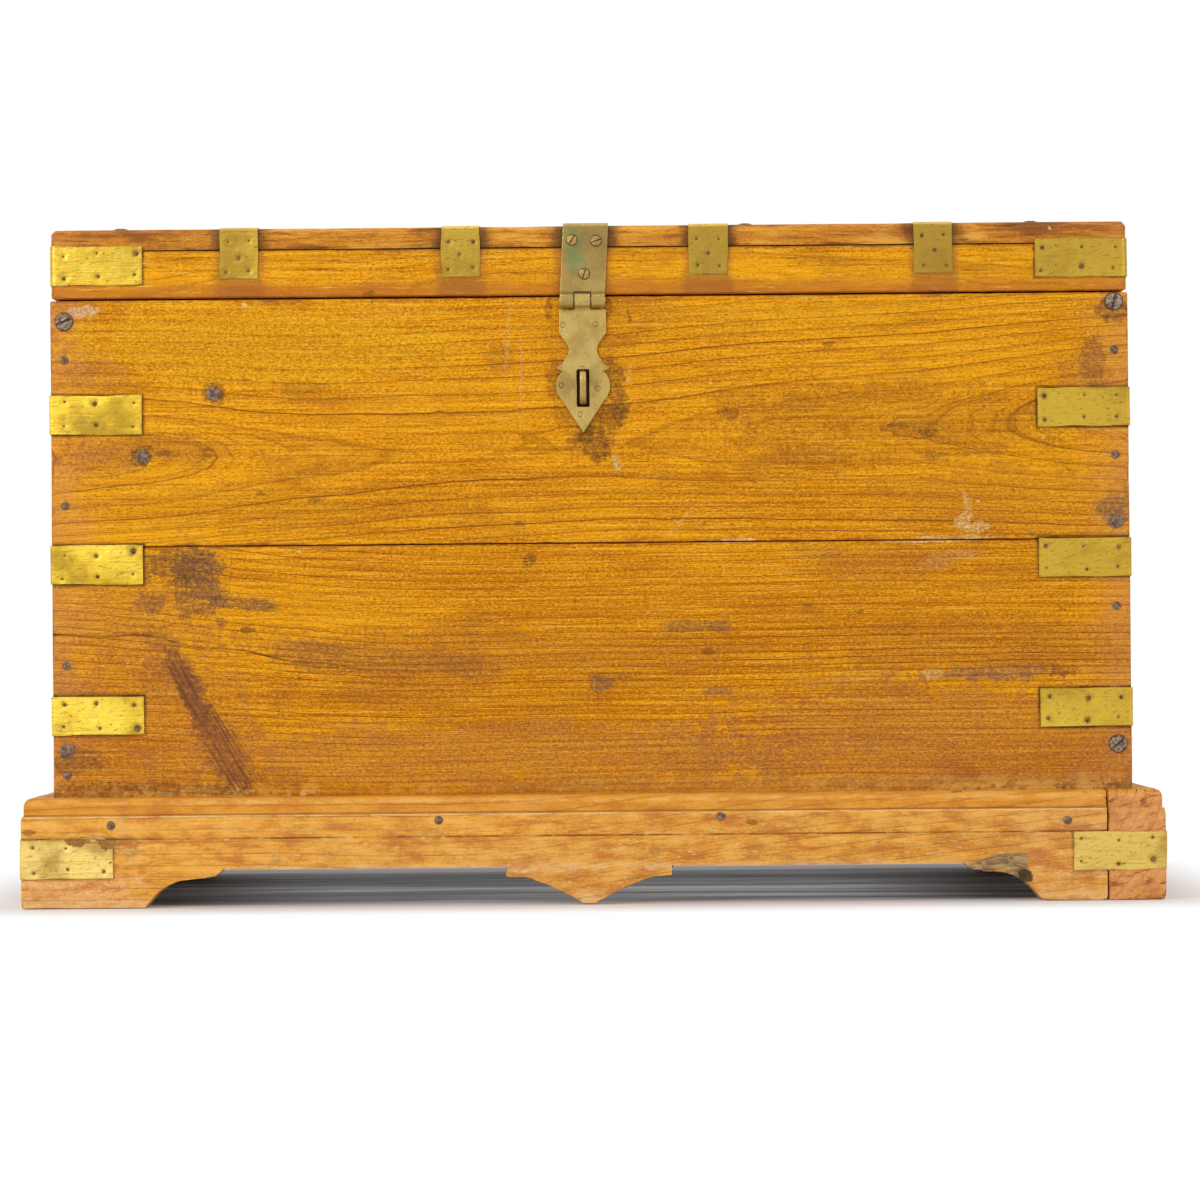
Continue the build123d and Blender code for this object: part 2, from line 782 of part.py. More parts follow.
hasp_legs = (lid_top - lid_bottom, hasp_plate_top_leg)
widest = hasp_plate_width + 2 * hasp_plate_lean
bent = over_edge_strap(widest, *hasp_legs, hasp_sheet, hasp_centre)
web_y = hasp_axis_y + hasp_knuckle_radius - hasp_sheet
with BuildPart() as hasp_plate:
    add(bent)
    with BuildSketch(Plane.XZ.offset(half_depth + 2 * hasp_sheet)):
        with BuildLine():
            Polyline(
                (hasp_centre - hasp_half, lid_bottom),
                (hasp_centre + hasp_half, lid_bottom),
                (hasp_centre + hasp_half + hasp_plate_lean, lid_top),
                (hasp_centre + hasp_half + hasp_plate_lean, lid_top + 2 * hasp_sheet),
                (hasp_centre - hasp_half + hasp_plate_lean, lid_top + 2 * hasp_sheet),
                (hasp_centre - hasp_half + hasp_plate_lean, lid_top),
                (hasp_centre - hasp_half, lid_bottom),
            )
        make_face()
    extrude(amount=-hasp_plate_top_leg - 4 * hasp_sheet, mode=Mode.INTERSECT)
    for lug_start in (-hasp_half, centre_half + knuckle_gap):
        x_start = hasp_centre + lug_start
        x_end = x_start + hasp_lug_length
        add(barrel(x_start, x_end, hasp_axis_y, hasp_axis_z, hasp_knuckle_radius))
        add(
            slab(
                (x_start, web_y, hasp_axis_z),
                (x_end, web_y + hasp_sheet, lid_bottom + 2 * notch_gap),
            )
        )
    add(
        barrel(
            hasp_centre - centre_half - knuckle_gap,
            hasp_centre + centre_half + knuckle_gap,
            hasp_axis_y,
            hasp_axis_z,
            hasp_knuckle_radius + notch_gap,
        ),
        mode=Mode.SUBTRACT,
    )
    add(
        barrel(
            hasp_centre - hasp_half,
            hasp_centre + hasp_half,
            hasp_axis_y,
            hasp_axis_z,
            hasp_pin_radius,
        ),
        mode=Mode.SUBTRACT,
    )
finish(hasp_plate.part, "hasp_plate")

with BuildPart() as hasp_pin:
    add(
        barrel(
            hasp_centre - hasp_half - hasp_pin_overhang,
            hasp_centre + hasp_half + hasp_pin_overhang,
            hasp_axis_y,
            hasp_axis_z,
            hasp_pin_radius,
        )
    )
    fillet(hasp_pin.edges().filter_by(GeomType.CIRCLE), hasp_pin_round)
finish(hasp_pin.part, "hasp_pin")


hasp_leaf_y = hasp_axis_y + hasp_knuckle_radius  # the leaf's back, just off the front board
hasp_leaf_top = -hasp_knuckle_radius - hasp_leaf_gap


def hasp_edge(side):
    """One side of the hasp strap, from its neck to its tip, with X measured from its middle."""
    outline = {
        "top": (hasp_neck_half_width, hasp_leaf_top),
        "neck": (hasp_neck_half_width, -hasp_neck_length),
        "shoulder": (hasp_waist_half_width + hasp_shoulder[0], -hasp_neck_length - hasp_shoulder[1]),
        "waist": (hasp_waist_half_width, -hasp_waist_drop),
        "flare": (hasp_waist_half_width + hasp_flare[0], -hasp_waist_drop - hasp_flare[1]),
        "hollow": (hasp_horn_half_width - hasp_horn_hollow[0], -hasp_horn_drop + hasp_horn_hollow[1]),
        "horn": (hasp_horn_half_width, -hasp_horn_drop),
        "blunt": (hasp_horn_half_width - hasp_horn_blunt[0], -hasp_horn_drop - hasp_horn_blunt[1]),
        "notch": (hasp_notch_half_width, -hasp_notch_drop),
        "lobe": (hasp_lobe_half_width, -hasp_lobe_drop),
        "tail": (hasp_notch_half_width + hasp_tail[0], -hasp_lobe_drop - hasp_tail[1]),
        "tip": (0, -hasp_tip_drop),
    }
    at = {name: (side * x, z) for name, (x, z) in outline.items()}
    with BuildLine() as edge:
        Line(at["top"], at["neck"])
        Line(at["neck"], at["shoulder"])
        ThreePointArc(at["shoulder"], at["waist"], at["flare"])
        ThreePointArc(at["flare"], at["hollow"], at["horn"])
        Line(at["horn"], at["blunt"])
        Line(at["blunt"], at["notch"])
        ThreePointArc(at["notch"], at["lobe"], at["tail"])
        Line(at["tail"], at["tip"])
    return edge.line


hasp_plane = Plane(
    origin=(hasp_centre, hasp_leaf_y, hasp_axis_z),
    x_dir=(1, 0, 0),
    z_dir=(0, -1, 0),
)
with BuildPart() as hasp_strap:
    with BuildSketch(hasp_plane):
        with BuildLine():
            add(hasp_edge(1))
            add(hasp_edge(-1))
            Line((-hasp_neck_half_width, hasp_leaf_top), (hasp_neck_half_width, hasp_leaf_top))
        make_face()
        with Locations((0, -slot_top_drop - slot_length / 2)):
            RectangleRounded(slot_width, slot_length, slot_corner_round, mode=Mode.SUBTRACT)
    extrude(amount=hasp_sheet)
    add(
        slab(
            (hasp_centre - centre_half, hasp_leaf_y - hasp_sheet, hasp_axis_z + hasp_leaf_top),
            (hasp_centre + centre_half, hasp_leaf_y, hasp_axis_z),
        )
    )
    knuckle_span = (hasp_centre - centre_half, hasp_centre + centre_half)
    add(barrel(*knuckle_span, hasp_axis_y, hasp_axis_z, hasp_knuckle_radius))
    pin_hole = barrel(*knuckle_span, hasp_axis_y, hasp_axis_z, hasp_pin_radius + pin_fit)
    add(pin_hole, mode=Mode.SUBTRACT)
finish(hasp_strap.part, "hasp_strap")

# The staple is one bent bar driven through the front board, its ends turned over inside.
staple_middle = hasp_axis_z - slot_top_drop - slot_length / 2
staple_reach = staple_height / 2 - staple_bar / 2
staple_front = -half_depth - staple_projection + staple_bar / 2
staple_back = -inner_half_depth + staple_bar / 2
with BuildPart() as staple:
    with BuildLine(Plane.YZ.offset(hasp_centre)):
        FilletPolyline(
            (staple_back, staple_middle + staple_reach + staple_clench),
            (staple_back, staple_middle + staple_reach),
            (staple_front, staple_middle + staple_reach),
            (staple_front, staple_middle - staple_reach),
            (staple_back, staple_middle - staple_reach),
            (staple_back, staple_middle - staple_reach - staple_clench),
            radius=staple_bar / 2 + staple_inner_bend,
        )
    with BuildSketch(
        Plane(
            origin=(hasp_centre, staple_back, staple_middle + staple_reach + staple_clench),
            x_dir=(1, 0, 0),
            z_dir=(0, 0, -1),
        )
    ):
        RectangleRounded(staple_bar, staple_bar, staple_bar_round)
    sweep()
finish(staple.part, "staple")

# =====================================================================================
# Rear hinges: one leaf on the wall, one on the lid's rail, turning on a pin between them
# =====================================================================================

hinge_half = hinge_width / 2
hinge_centre_half = hinge_centre_knuckle / 2
hinge_web_y = hinge_axis_y - hinge_knuckle_radius

for name, sx in (("left", -1), ("right", 1)):
    middle = sx * hinge_centre_offset
    centre_span = (middle - hinge_centre_half, middle + hinge_centre_half)
    full_span = (middle - hinge_half, middle + hinge_half)

    with BuildPart() as lower_leaf:
        with BuildSketch(Plane.XZ.offset(-half_depth)):
            with Locations((middle, rim - hinge_edge_gap - hinge_lower_leaf / 2)):
                RectangleRounded(hinge_width, hinge_lower_leaf, hinge_corner_round)
        extrude(amount=-hinge_sheet)
        for start, end in (
            (full_span[0], centre_span[0] - knuckle_gap),
            (centre_span[1] + knuckle_gap, full_span[1]),
        ):
            add(barrel(start, end, hinge_axis_y, hinge_axis_z, hinge_knuckle_radius))
            add(
                slab(
                    (start, hinge_web_y, rim - hinge_web_height),
                    (end, hinge_web_y + hinge_sheet, hinge_axis_z),
                )
            )
        pin_hole = barrel(*full_span, hinge_axis_y, hinge_axis_z, hinge_pin_radius)
        add(pin_hole, mode=Mode.SUBTRACT)
        swept = barrel(
            centre_span[0] - knuckle_gap,
            centre_span[1] + knuckle_gap,
            hinge_axis_y,
            hinge_axis_z,
            hinge_knuckle_radius + notch_gap,
        )
        add(swept, mode=Mode.SUBTRACT)
    finish(lower_leaf.part, f"hinge_chest_leaf_{name}")

    with BuildPart() as upper_leaf:
        with BuildSketch(Plane.XZ.offset(-half_depth)):
            with Locations((middle, lid_bottom + hinge_edge_gap + hinge_upper_leaf / 2)):
                RectangleRounded(hinge_width, hinge_upper_leaf, hinge_corner_round)
        extrude(amount=-hinge_sheet)
        add(barrel(*centre_span, hinge_axis_y, hinge_axis_z, hinge_knuckle_radius))
        add(
            slab(
                (centre_span[0], hinge_web_y, hinge_axis_z),
                (centre_span[1], hinge_web_y + hinge_sheet, lid_bottom + hinge_web_height),
            )
        )
        pin_hole = barrel(*centre_span, hinge_axis_y, hinge_axis_z, hinge_pin_radius + pin_fit)
        add(pin_hole, mode=Mode.SUBTRACT)
        for start, end in (
            (full_span[0] - 1, centre_span[0]),
            (centre_span[1], full_span[1] + 1),
        ):
            swept = barrel(
                start, end, hinge_axis_y, hinge_axis_z, hinge_knuckle_radius + notch_gap
            )
            add(swept, mode=Mode.SUBTRACT)
    finish(upper_leaf.part, f"hinge_lid_leaf_{name}")

with BuildPart() as hinge_pins:
    for sx in (-1, 1):
        middle = sx * hinge_centre_offset
        add(
            barrel(
                middle - hinge_half - hinge_pin_overhang,
                middle + hinge_half + hinge_pin_overhang,
                hinge_axis_y,
                hinge_axis_z,
                hinge_pin_radius,
            )
        )
    fillet(hinge_pins.edges().filter_by(GeomType.CIRCLE), hinge_pin_round)
finish(hinge_pins.part, "hinge_pins")

# =====================================================================================
# Handles: a plate with two ears on each end wall, and a bail that swings in the ears
# =====================================================================================

bail_arm_y = handle_ear_offset + handle_ear_thickness / 2 + knuckle_gap + bail_radius
bail_inner_end = handle_ear_offset - handle_ear_thickness / 2 - bail_end_overhang
ear_hole_radius = bail_radius + pin_fit
bail_end_radius = bail_radius + bail_end_bend

for name, sx in (("left", -1), ("right", 1)):
    face_x = sx * half_width
    axis_x = sx * (half_width + handle_stand_off)
    plate_plane = Plane(origin=(face_x, 0, handle_height), x_dir=(0, 1, 0), z_dir=(sx, 0, 0))
    ear_plane = Plane(origin=(axis_x, 0, handle_height), x_dir=(sx, 0, 0), z_dir=(0, sx, 0))
    with BuildPart() as handle_plate:
        with BuildSketch(plate_plane):
            RectangleRounded(handle_plate_length, handle_plate_height, handle_plate_corner_round)
        extrude(amount=handle_plate_sheet)
        outer_face = handle_plate.faces().sort_by(Axis.X)[0 if sx < 0 else -1]
        fillet(outer_face.edges(), handle_plate_edge_round)
        for ear_side in (-1, 1):
            start = ear_side * handle_ear_offset - sx * handle_ear_thickness / 2
            with BuildSketch(ear_plane.offset(sx * start)):
                Circle(handle_ear_radius)
                with Locations((-handle_stand_off / 2, 0)):
                    Rectangle(handle_stand_off, 2 * handle_ear_radius)
            extrude(amount=handle_ear_thickness)
        with BuildSketch(ear_plane.offset(-handle_plate_length / 2)):
            Circle(ear_hole_radius)
        extrude(amount=handle_plate_length, mode=Mode.SUBTRACT)
    finish(handle_plate.part, f"handle_plate_{name}")

    with BuildPart() as bail:
        with BuildLine(Plane.YZ.offset(axis_x)):
            FilletPolyline(
                (-bail_inner_end, handle_height),
                (-bail_arm_y, handle_height),
                (-bail_arm_y, handle_height - bail_drop),
                (bail_arm_y, handle_height - bail_drop),
                (bail_arm_y, handle_height),
                (bail_inner_end, handle_height),
                radius=[bail_end_radius, bail_bend, bail_bend, bail_end_radius],
            )
        with BuildSketch(
            Plane(
                origin=(axis_x, -bail_inner_end, handle_height),
                x_dir=(1, 0, 0),
                z_dir=(0, -1, 0),
            )
        ):
            Circle(bail_radius)
        sweep()
    finish(bail.part, f"handle_bail_{name}")

# =====================================================================================
# Brass screws of the hasp, hinges and handles
# =====================================================================================

hasp_screw = nail(hasp_head_radius, 0.7, 2.2, 15.0, slot=1.1)
hardware_screw = nail(hardware_head_radius, 0.9, 1.8, 16.0, slot=1.0)

hasp_screw_y = -half_depth - hasp_sheet
with BuildPart() as lid_hardware_screws:
    with Locations(
        seat(hasp_centre - 7.6, hasp_screw_y, lid_top - 11.2, "front", 55),
        seat(hasp_centre + 10.6, hasp_screw_y, lid_top - 12.0, "front", 20),
        seat(hasp_centre + 1.5, hasp_screw_y, lid_top - 36.7, "front", 70),
    ):
        add(hasp_screw)
    top_leg_y = -half_depth + hasp_plate_top_leg - 10.0
    with Locations(
        seat(hasp_centre - 9.0, top_leg_y, lid_top + hasp_sheet, "top", 30),
        seat(hasp_centre + 9.0, top_leg_y, lid_top + hasp_sheet, "top", 100),
    ):
        add(hasp_screw)
    leaf_face_y = half_depth + hinge_sheet
    for sx in (-1, 1):
        middle = sx * hinge_centre_offset
        aside = hinge_half - hinge_screw_inset
        high = lid_bottom + hinge_edge_gap + hinge_upper_leaf - hinge_screw_top_inset
        with Locations(
            seat(middle - aside, leaf_face_y, high, "back", 25),
            seat(middle + aside, leaf_face_y, high, "back", 80),
            seat(middle, leaf_face_y, high - hinge_screw_stagger, "back", 140),
        ):
            add(hardware_screw)
finish(lid_hardware_screws.part, "lid_hardware_screws")

with BuildPart() as chest_hardware_screws:
    for sx in (-1, 1):
        middle = sx * hinge_centre_offset
        aside = hinge_half - hinge_screw_inset
        low = rim - hinge_edge_gap - hinge_lower_leaf + hinge_screw_inset
        high = rim - hinge_screw_top_drop
        with Locations(
            seat(middle - aside, leaf_face_y, low, "back", 10),
            seat(middle + aside, leaf_face_y, low, "back", 65),
            seat(middle - aside, leaf_face_y, high, "back", 120),
            seat(middle + aside, leaf_face_y, high, "back", 45),
        ):
            add(hardware_screw)
        plate_x = sx * (half_width + handle_plate_sheet)
        side = "left" if sx < 0 else "right"
        plate_end = handle_plate_length / 2 - handle_screw_end_inset
        with Locations(
            seat(plate_x, -plate_end, handle_height, side, 15),
            seat(plate_x, plate_end, handle_height, side, 110),
            seat(plate_x, -handle_screw_middle_offset, handle_height, side, 70),
            seat(plate_x, handle_screw_middle_offset, handle_height, side, 35),
        ):
            add(hardware_screw)
finish(chest_hardware_screws.part, "chest_hardware_screws")
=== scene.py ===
import math
from collections import Counter
from functools import reduce

import bmesh
import bpy
import numpy as np
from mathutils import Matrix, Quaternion, Vector
from mathutils.kdtree import KDTree


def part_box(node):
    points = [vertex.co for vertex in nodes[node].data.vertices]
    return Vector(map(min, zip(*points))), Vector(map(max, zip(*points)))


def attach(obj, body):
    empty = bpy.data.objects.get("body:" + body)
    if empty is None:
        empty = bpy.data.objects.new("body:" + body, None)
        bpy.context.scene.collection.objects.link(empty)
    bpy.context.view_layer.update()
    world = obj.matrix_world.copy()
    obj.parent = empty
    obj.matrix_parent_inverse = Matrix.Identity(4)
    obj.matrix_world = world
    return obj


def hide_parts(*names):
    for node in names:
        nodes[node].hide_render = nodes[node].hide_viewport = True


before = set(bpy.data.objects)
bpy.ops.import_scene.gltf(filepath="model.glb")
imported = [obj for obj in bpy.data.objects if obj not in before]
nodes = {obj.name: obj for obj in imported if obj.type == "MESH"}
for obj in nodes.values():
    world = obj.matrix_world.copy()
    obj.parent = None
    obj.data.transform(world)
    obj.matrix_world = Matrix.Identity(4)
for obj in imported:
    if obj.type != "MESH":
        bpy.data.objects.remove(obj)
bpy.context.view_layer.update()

# The damchiya chest's looks, in metres: worn teak boards, hammered brass sheet, aged fittings.
rng = np.random.default_rng(7)

MM = 0.001
FRONT = -0.2  # the front face of the carcase and the lid
LID_TOP = 0.5085
PLINTH_FRONT = -0.2210  # whatever lies before this is the plinth board's front face
HASP_X = -0.0048
EDGE_STRAPS = (-0.2625, -0.096, 0.090, 0.259)  # the middles of the lid edge straps


# ---- noise for meshes -------------------------------------------------------------------

def lattice(ix, iy, iz, seed):
    """A fixed random number in 0..1 for every lattice point."""
    h = (ix * 374761393 + iy * 668265263 + iz * 2147483647 + seed * 1274126177) & 0xFFFFFFFF
    h = ((h ^ (h >> 13)) * 1274126177) & 0xFFFFFFFF
    return ((h ^ (h >> 16)) & 0xFFFF) / 65535.0


def noise(points, scale, seed=0):
    """Smooth noise in -1..1 at the points; scale is features per metre, one or three numbers."""
    p = points * np.asarray(scale, float) + 500.0
    base = np.floor(p).astype(np.int64)
    f = p - base
    f = f * f * (3 - 2 * f)
    total = np.zeros(len(p))
    for corner in range(8):
        d = [(corner >> a) & 1 for a in range(3)]
        weight = np.ones(len(p))
        for a in range(3):
            weight *= f[:, a] if d[a] else 1 - f[:, a]
        total += weight * lattice(base[:, 0] + d[0], base[:, 1] + d[1], base[:, 2] + d[2], seed)
    return total * 2 - 1


def bump(value, width):
    """1 where value is 0, falling smoothly to 0 a few widths away."""
    return np.exp(-((value / width) ** 2))


# ---- meshes -----------------------------------------------------------------------------

def new_mesh(name, points, faces):
    """A mesh from points and faces."""
    mesh = bpy.data.meshes.new(name)
    mesh.from_pydata([tuple(p) for p in points], [], [tuple(f) for f in faces])
    mesh.update()
    return mesh


def cleaned(mesh):
    """Drops a mesh's loose points and turns its faces outward."""
    bm = bmesh.new()
    bm.from_mesh(mesh)
    bmesh.ops.delete(bm, geom=[v for v in bm.verts if not v.link_faces], context="VERTS")
    bmesh.ops.recalc_face_normals(bm, faces=bm.faces)
    bm.to_mesh(mesh)
    bm.free()
    return mesh


def adopt(name, mesh, body, slot, material, smooth_angle, *stands_for):
    """An object for a finished mesh, smooth except at its sharp edges, riding on its body."""
    mesh.validate()
    for polygon in mesh.polygons:
        polygon.use_smooth = True
    mesh.set_sharp_from_angle(angle=math.radians(smooth_angle))
    mesh.materials.append(material)
    made = bpy.data.objects.new(name, mesh)
    bpy.context.collection.objects.link(made)
    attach(made, body)
    if stands_for:
        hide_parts(*stands_for)


def ticks(low, high, soft, cell, extra):
    """Grid places along one axis, close together near both ends."""
    near = (0.0, 0.35, 0.7, 1.0)
    places = {low + soft[0] * t for t in near} | {high - soft[1] * t for t in near}
    for step in (0.0012, 0.003, 0.0055):
        places |= {low + soft[0] + step, high - soft[1] - step}
    start, end = low + soft[0] + 0.0085, high - soft[1] - 0.0085
    if end > start:
        places |= set(np.linspace(start, end, max(2, int((end - start) / cell) + 1)))
    places |= {e for e in extra if low + 0.003 < e < high - 0.003}
    ordered = sorted(p for p in places if low - 1e-9 <= p <= high + 1e-9)
    kept = [ordered[0]]
    for p in ordered[1:]:
        if p - kept[-1] > 0.00012:
            kept.append(p)
    kept[-1] = ordered[-1]
    return np.array(kept)


def grid_box(low, high, soft, cell, extra):
    """A closed grid over a box with softened edges: its points, faces, outward directions,
    places before softening, and each point's distance from the box's nearest edge."""
    axes = [ticks(low[a], high[a], soft[a], cell[a], extra[a]) for a in range(3)]
    counts = [len(t) for t in axes]
    sides = [(a, end, tuple(end if a == b else slice(None) for b in range(3)))
             for a in range(3) for end in (0, -1)]
    surface = np.zeros(counts, bool)
    for _, _, side in sides:
        surface[side] = True
    ids = np.argwhere(surface)
    index = np.full(counts, -1)
    index[surface] = np.arange(len(ids))
    flat = np.stack([axes[a][ids[:, a]] for a in range(3)], axis=1)

    faces = []
    for a, end, side in sides:
        sheet = index[side]
        quad = np.stack([sheet[:-1, :-1], sheet[1:, :-1], sheet[1:, 1:], sheet[:-1, 1:]], axis=-1)
        turned = (end == 0) == (a != 1)
        faces.append(quad.reshape(-1, 4)[:, ::-1 if turned else 1])
    faces = np.concatenate(faces)

    core = np.clip(flat, low + soft[:, 0], high - soft[:, 1])
    off = flat - core
    radius = np.where(off < 0, soft[:, 0], np.where(off > 0, soft[:, 1], 1.0))
    unit = off / radius
    length = np.linalg.norm(unit, axis=1, keepdims=True)
    length[length == 0] = 1
    normal = unit / length
    to_faces = np.sort(np.minimum(flat - low, high - flat), axis=1)
    return core + normal * radius, faces, normal, flat, to_faces[:, 1]


def wear(flat, edge, seed, heavy=1.0):
    """How far in each point of a board is worn: rubbed arrises, chips and faint undulation."""
    rubbed = (0.00025 + 0.0003 * (noise(flat, 14, seed) + 1)) * bump(edge, 0.0028)
    chipped = np.clip(noise(flat, (60, 160, 160), seed + 1) - 0.42, 0, 1) * 0.0035
    chipped *= bump(edge, 0.0035)
    wavy = 0.00013 * (noise(flat, (7, 25, 25), seed + 2) + 1)
    fibres = 0.00005 * (noise(flat, (30, 420, 420), seed + 3) + 1)
    return (rubbed + chipped) * heavy + wavy + fibres


def scattered_dents(count, low, high, depth):
    """Random round dents on an X-Z face, as (x, z, radius, depth)."""
    return [
        (rng.uniform(low[0], high[0]), rng.uniform(low[1], high[1]),
         rng.uniform(0.0012, 0.0045), rng.uniform(0.3, 1.0) * depth)
        for _ in range(count)
    ]


# ---- shader building --------------------------------------------------------------------

def linear(colour):
    """An sRGB colour in 0..255 as linear numbers."""
    shares = [c / 255 for c in colour]
    return (*(c / 12.92 if c <= 0.04045 else ((c + 0.055) / 1.055) ** 2.4 for c in shares), 1.0)


class V:
    """A number in a shader: arithmetic on it adds nodes."""

    def __init__(self, shader, socket):
        self.shader, self.socket = shader, socket

    def __add__(self, other):
        return self.shader.math("ADD", self, other)

    def __sub__(self, other):
        return self.shader.math("SUBTRACT", self, other)

    def __rsub__(self, other):
        return self.shader.math("SUBTRACT", other, self)

    def __mul__(self, other):
        return self.shader.math("MULTIPLY", self, other)

    def __truediv__(self, other):
        return self.shader.math("DIVIDE", self, other)

    def __abs__(self):
        return self.shader.math("ABSOLUTE", self)


def most(a, b):
    """The larger of two numbers in a shader."""
    return a.shader.math("MAXIMUM", a, b)


def least(a, b):
    """The smaller of two numbers in a shader."""
    return a.shader.math("MINIMUM", a, b)


def sine(a):
    return a.shader.math("SINE", a)


def length(a, b):
    """How long a vector of two numbers in a shader is."""
    return a.shader.math("SQRT", a * a + b * b)


class Shader:
    """One material, short ways to add nodes to it, and its colour so far."""

    def __init__(self, name, along="t", seed=0.0):
        """The axes are taken along the board, across it and through it."""
        self.material = bpy.data.materials.new(name)
        self.material.use_nodes = True
        self.tree = self.material.node_tree
        self.bsdf = self.tree.nodes["Principled BSDF"]
        split = self.node("ShaderNodeSeparateXYZ",
                          self.node("ShaderNodeTexCoord").outputs["Object"])
        x, y, z = self.x, self.y, self.z = [V(self, out) for out in split.outputs]
        self.axes = {"x": (x, z, y), "y": (y, z, x), "t": (x, y, z), "z": (z, x, y)}[along]
        self.seed = seed
        self.seeded = self.stretched(1, 1, 1)
        self.colour = None

    def node(self, kind, *inputs, **settings):
        made = self.tree.nodes.new(kind)
        for key, value in settings.items():
            setattr(made, key, value)
        for slot, value in enumerate(inputs):
            self.put(made.inputs[slot], value)
        return made

    def put(self, socket, value):
        """Links a socket or sets it: to a colour in 0..255, or to any other constant."""
        if isinstance(value, V):
            value = value.socket
        if isinstance(value, bpy.types.NodeSocket):
            self.tree.links.new(value, socket)
        elif isinstance(value, tuple) and socket.type == "RGBA":
            socket.default_value = linear(value)
        else:
            socket.default_value = value

    def math(self, operation, *values, clamp=False):
        made = self.node("ShaderNodeMath", *values, operation=operation, use_clamp=clamp)
        return V(self, made.outputs[0])

    def vector(self, x, y, z):
        return self.node("ShaderNodeCombineXYZ", x, y, z).outputs[0]

    def attribute(self, name):
        """A number that the mesh holds for each of its points."""
        return V(self, self.node("ShaderNodeAttribute", attribute_name=name).outputs["Fac"])

    def stretched(self, a, b, c, shift=None):
        """Places with a, b and c features to the metre along the axes, shifted by the seed."""
        u, v, w = self.axes
        return self.vector(u * a + (self.seed if shift is None else shift), v * b, w * c)

    def noise(self, vector, scale, detail, rough=0.5, twist=0.0):
        made = self.node("ShaderNodeTexNoise")
        for key, value in (("Vector", vector), ("Scale", scale), ("Detail", detail),
                           ("Roughness", rough), ("Distortion", twist)):
            self.put(made.inputs[key], value)
        return V(self, made.outputs["Fac"])

    def blobs(self, scale, detail, rough=0.5):
        """Noise that is as long as it is wide."""
        return self.noise(self.seeded, scale, detail, rough)

    def grain(self, a, b, c, detail, rough=0.5, shift=None):
        """Noise stretched along the axes."""
        return self.noise(self.stretched(a, b, c, shift), 1.0, detail, rough)

    def cells(self, a, b, c, shift):
        """Random points in space: the distance to the nearest one, and its own chance."""
        made = self.node("ShaderNodeTexVoronoi", feature="F1")
        self.put(made.inputs["Vector"], self.stretched(a, b, c, shift))
        self.put(made.inputs["Scale"], 1.0)
        chance = self.node("ShaderNodeSeparateColor", made.outputs["Color"]).outputs[0]
        return V(self, made.outputs["Distance"]), V(self, chance)

    def smooth(self, value, start, end, top=1.0, floor=0.0):
        """A smooth slope: floor up to the start, top from the end on."""
        made = self.node("ShaderNodeMapRange", value, start, end, floor, top,
                         interpolation_type="SMOOTHSTEP")
        return V(self, made.outputs[0])

    def curve(self, value, start, end, stops):
        """A smooth curve through (place, height) stops, heights in 0..1."""
        scaled = self.node("ShaderNodeMapRange", value, start, end, 0.0, 1.0)
        ramp = self.node("ShaderNodeValToRGB", scaled.outputs[0])
        ramp.color_ramp.interpolation = "B_SPLINE"
        elements = ramp.color_ramp.elements
        while len(elements) < len(stops):
            elements.new(0.5)
        for element, (place, height) in zip(elements, stops):
            element.position = (place - start) / (end - start)
            element.color = (height, height, height, 1)
        return V(self, self.node("ShaderNodeSeparateColor", ramp.outputs[0]).outputs[0])

    def mix(self, fac, a, b):
        made = self.node("ShaderNodeMix", data_type="RGBA")
        for slot, value in ((0, fac), (6, a), (7, b)):
            self.put(made.inputs[slot], value)
        return made.outputs[2]

    def lay(self, shade, fac, *slope):
        """Lays a shade over the colour so far, as strongly as fac or its slope says."""
        if slope:
            fac = self.smooth(fac, *slope)
        self.colour = self.mix(fac, self.colour, shade)

    def finish(self, roughness, height, depth, **constants):
        """Links the surface, and sets what is the same all over on its own socket."""
        self.put(self.bsdf.inputs["Base Color"], self.colour)
        self.put(self.bsdf.inputs["Roughness"], roughness)
        for key, value in constants.items():
            self.bsdf.inputs[key.replace("_", " ")].default_value = value
        relief = self.node("ShaderNodeBump")
        relief.inputs["Strength"].default_value = 1.0
        relief.inputs["Distance"].default_value = depth
        self.put(relief.inputs["Height"], height)
        self.put(self.bsdf.inputs["Normal"], relief.outputs[0])
        return self.material


def blot(s, u, v, x, y, half_wide, half_high, ragged, turn=0.0, soft=0.16):
    """A ragged ellipse, 1 inside and 0 outside; sizes in millimetres, turn in degrees."""
    du, dv = u - x / 1000, v - y / 1000
    if turn:
        c, n = math.cos(math.radians(turn)), math.sin(math.radians(turn))
        du, dv = du * c + dv * n, dv * c - du * n
    far = length(du * (1000 / half_wide), dv * (1000 / half_high))
    return s.smooth(far + ragged * 0.8, 1.0 + soft, 1.0 - soft)


# ---- teak -------------------------------------------------------------------------------

GOLD, AMBER, LINE = (244, 168, 14), (196, 116, 4), (128, 64, 6)
BROWN, PINK, PALE = (166, 96, 26), (204, 134, 84), (242, 204, 140)
STRAP_HALF = (34.5, 14.5)  # half a corner strap's leg and half its height, in millimetres


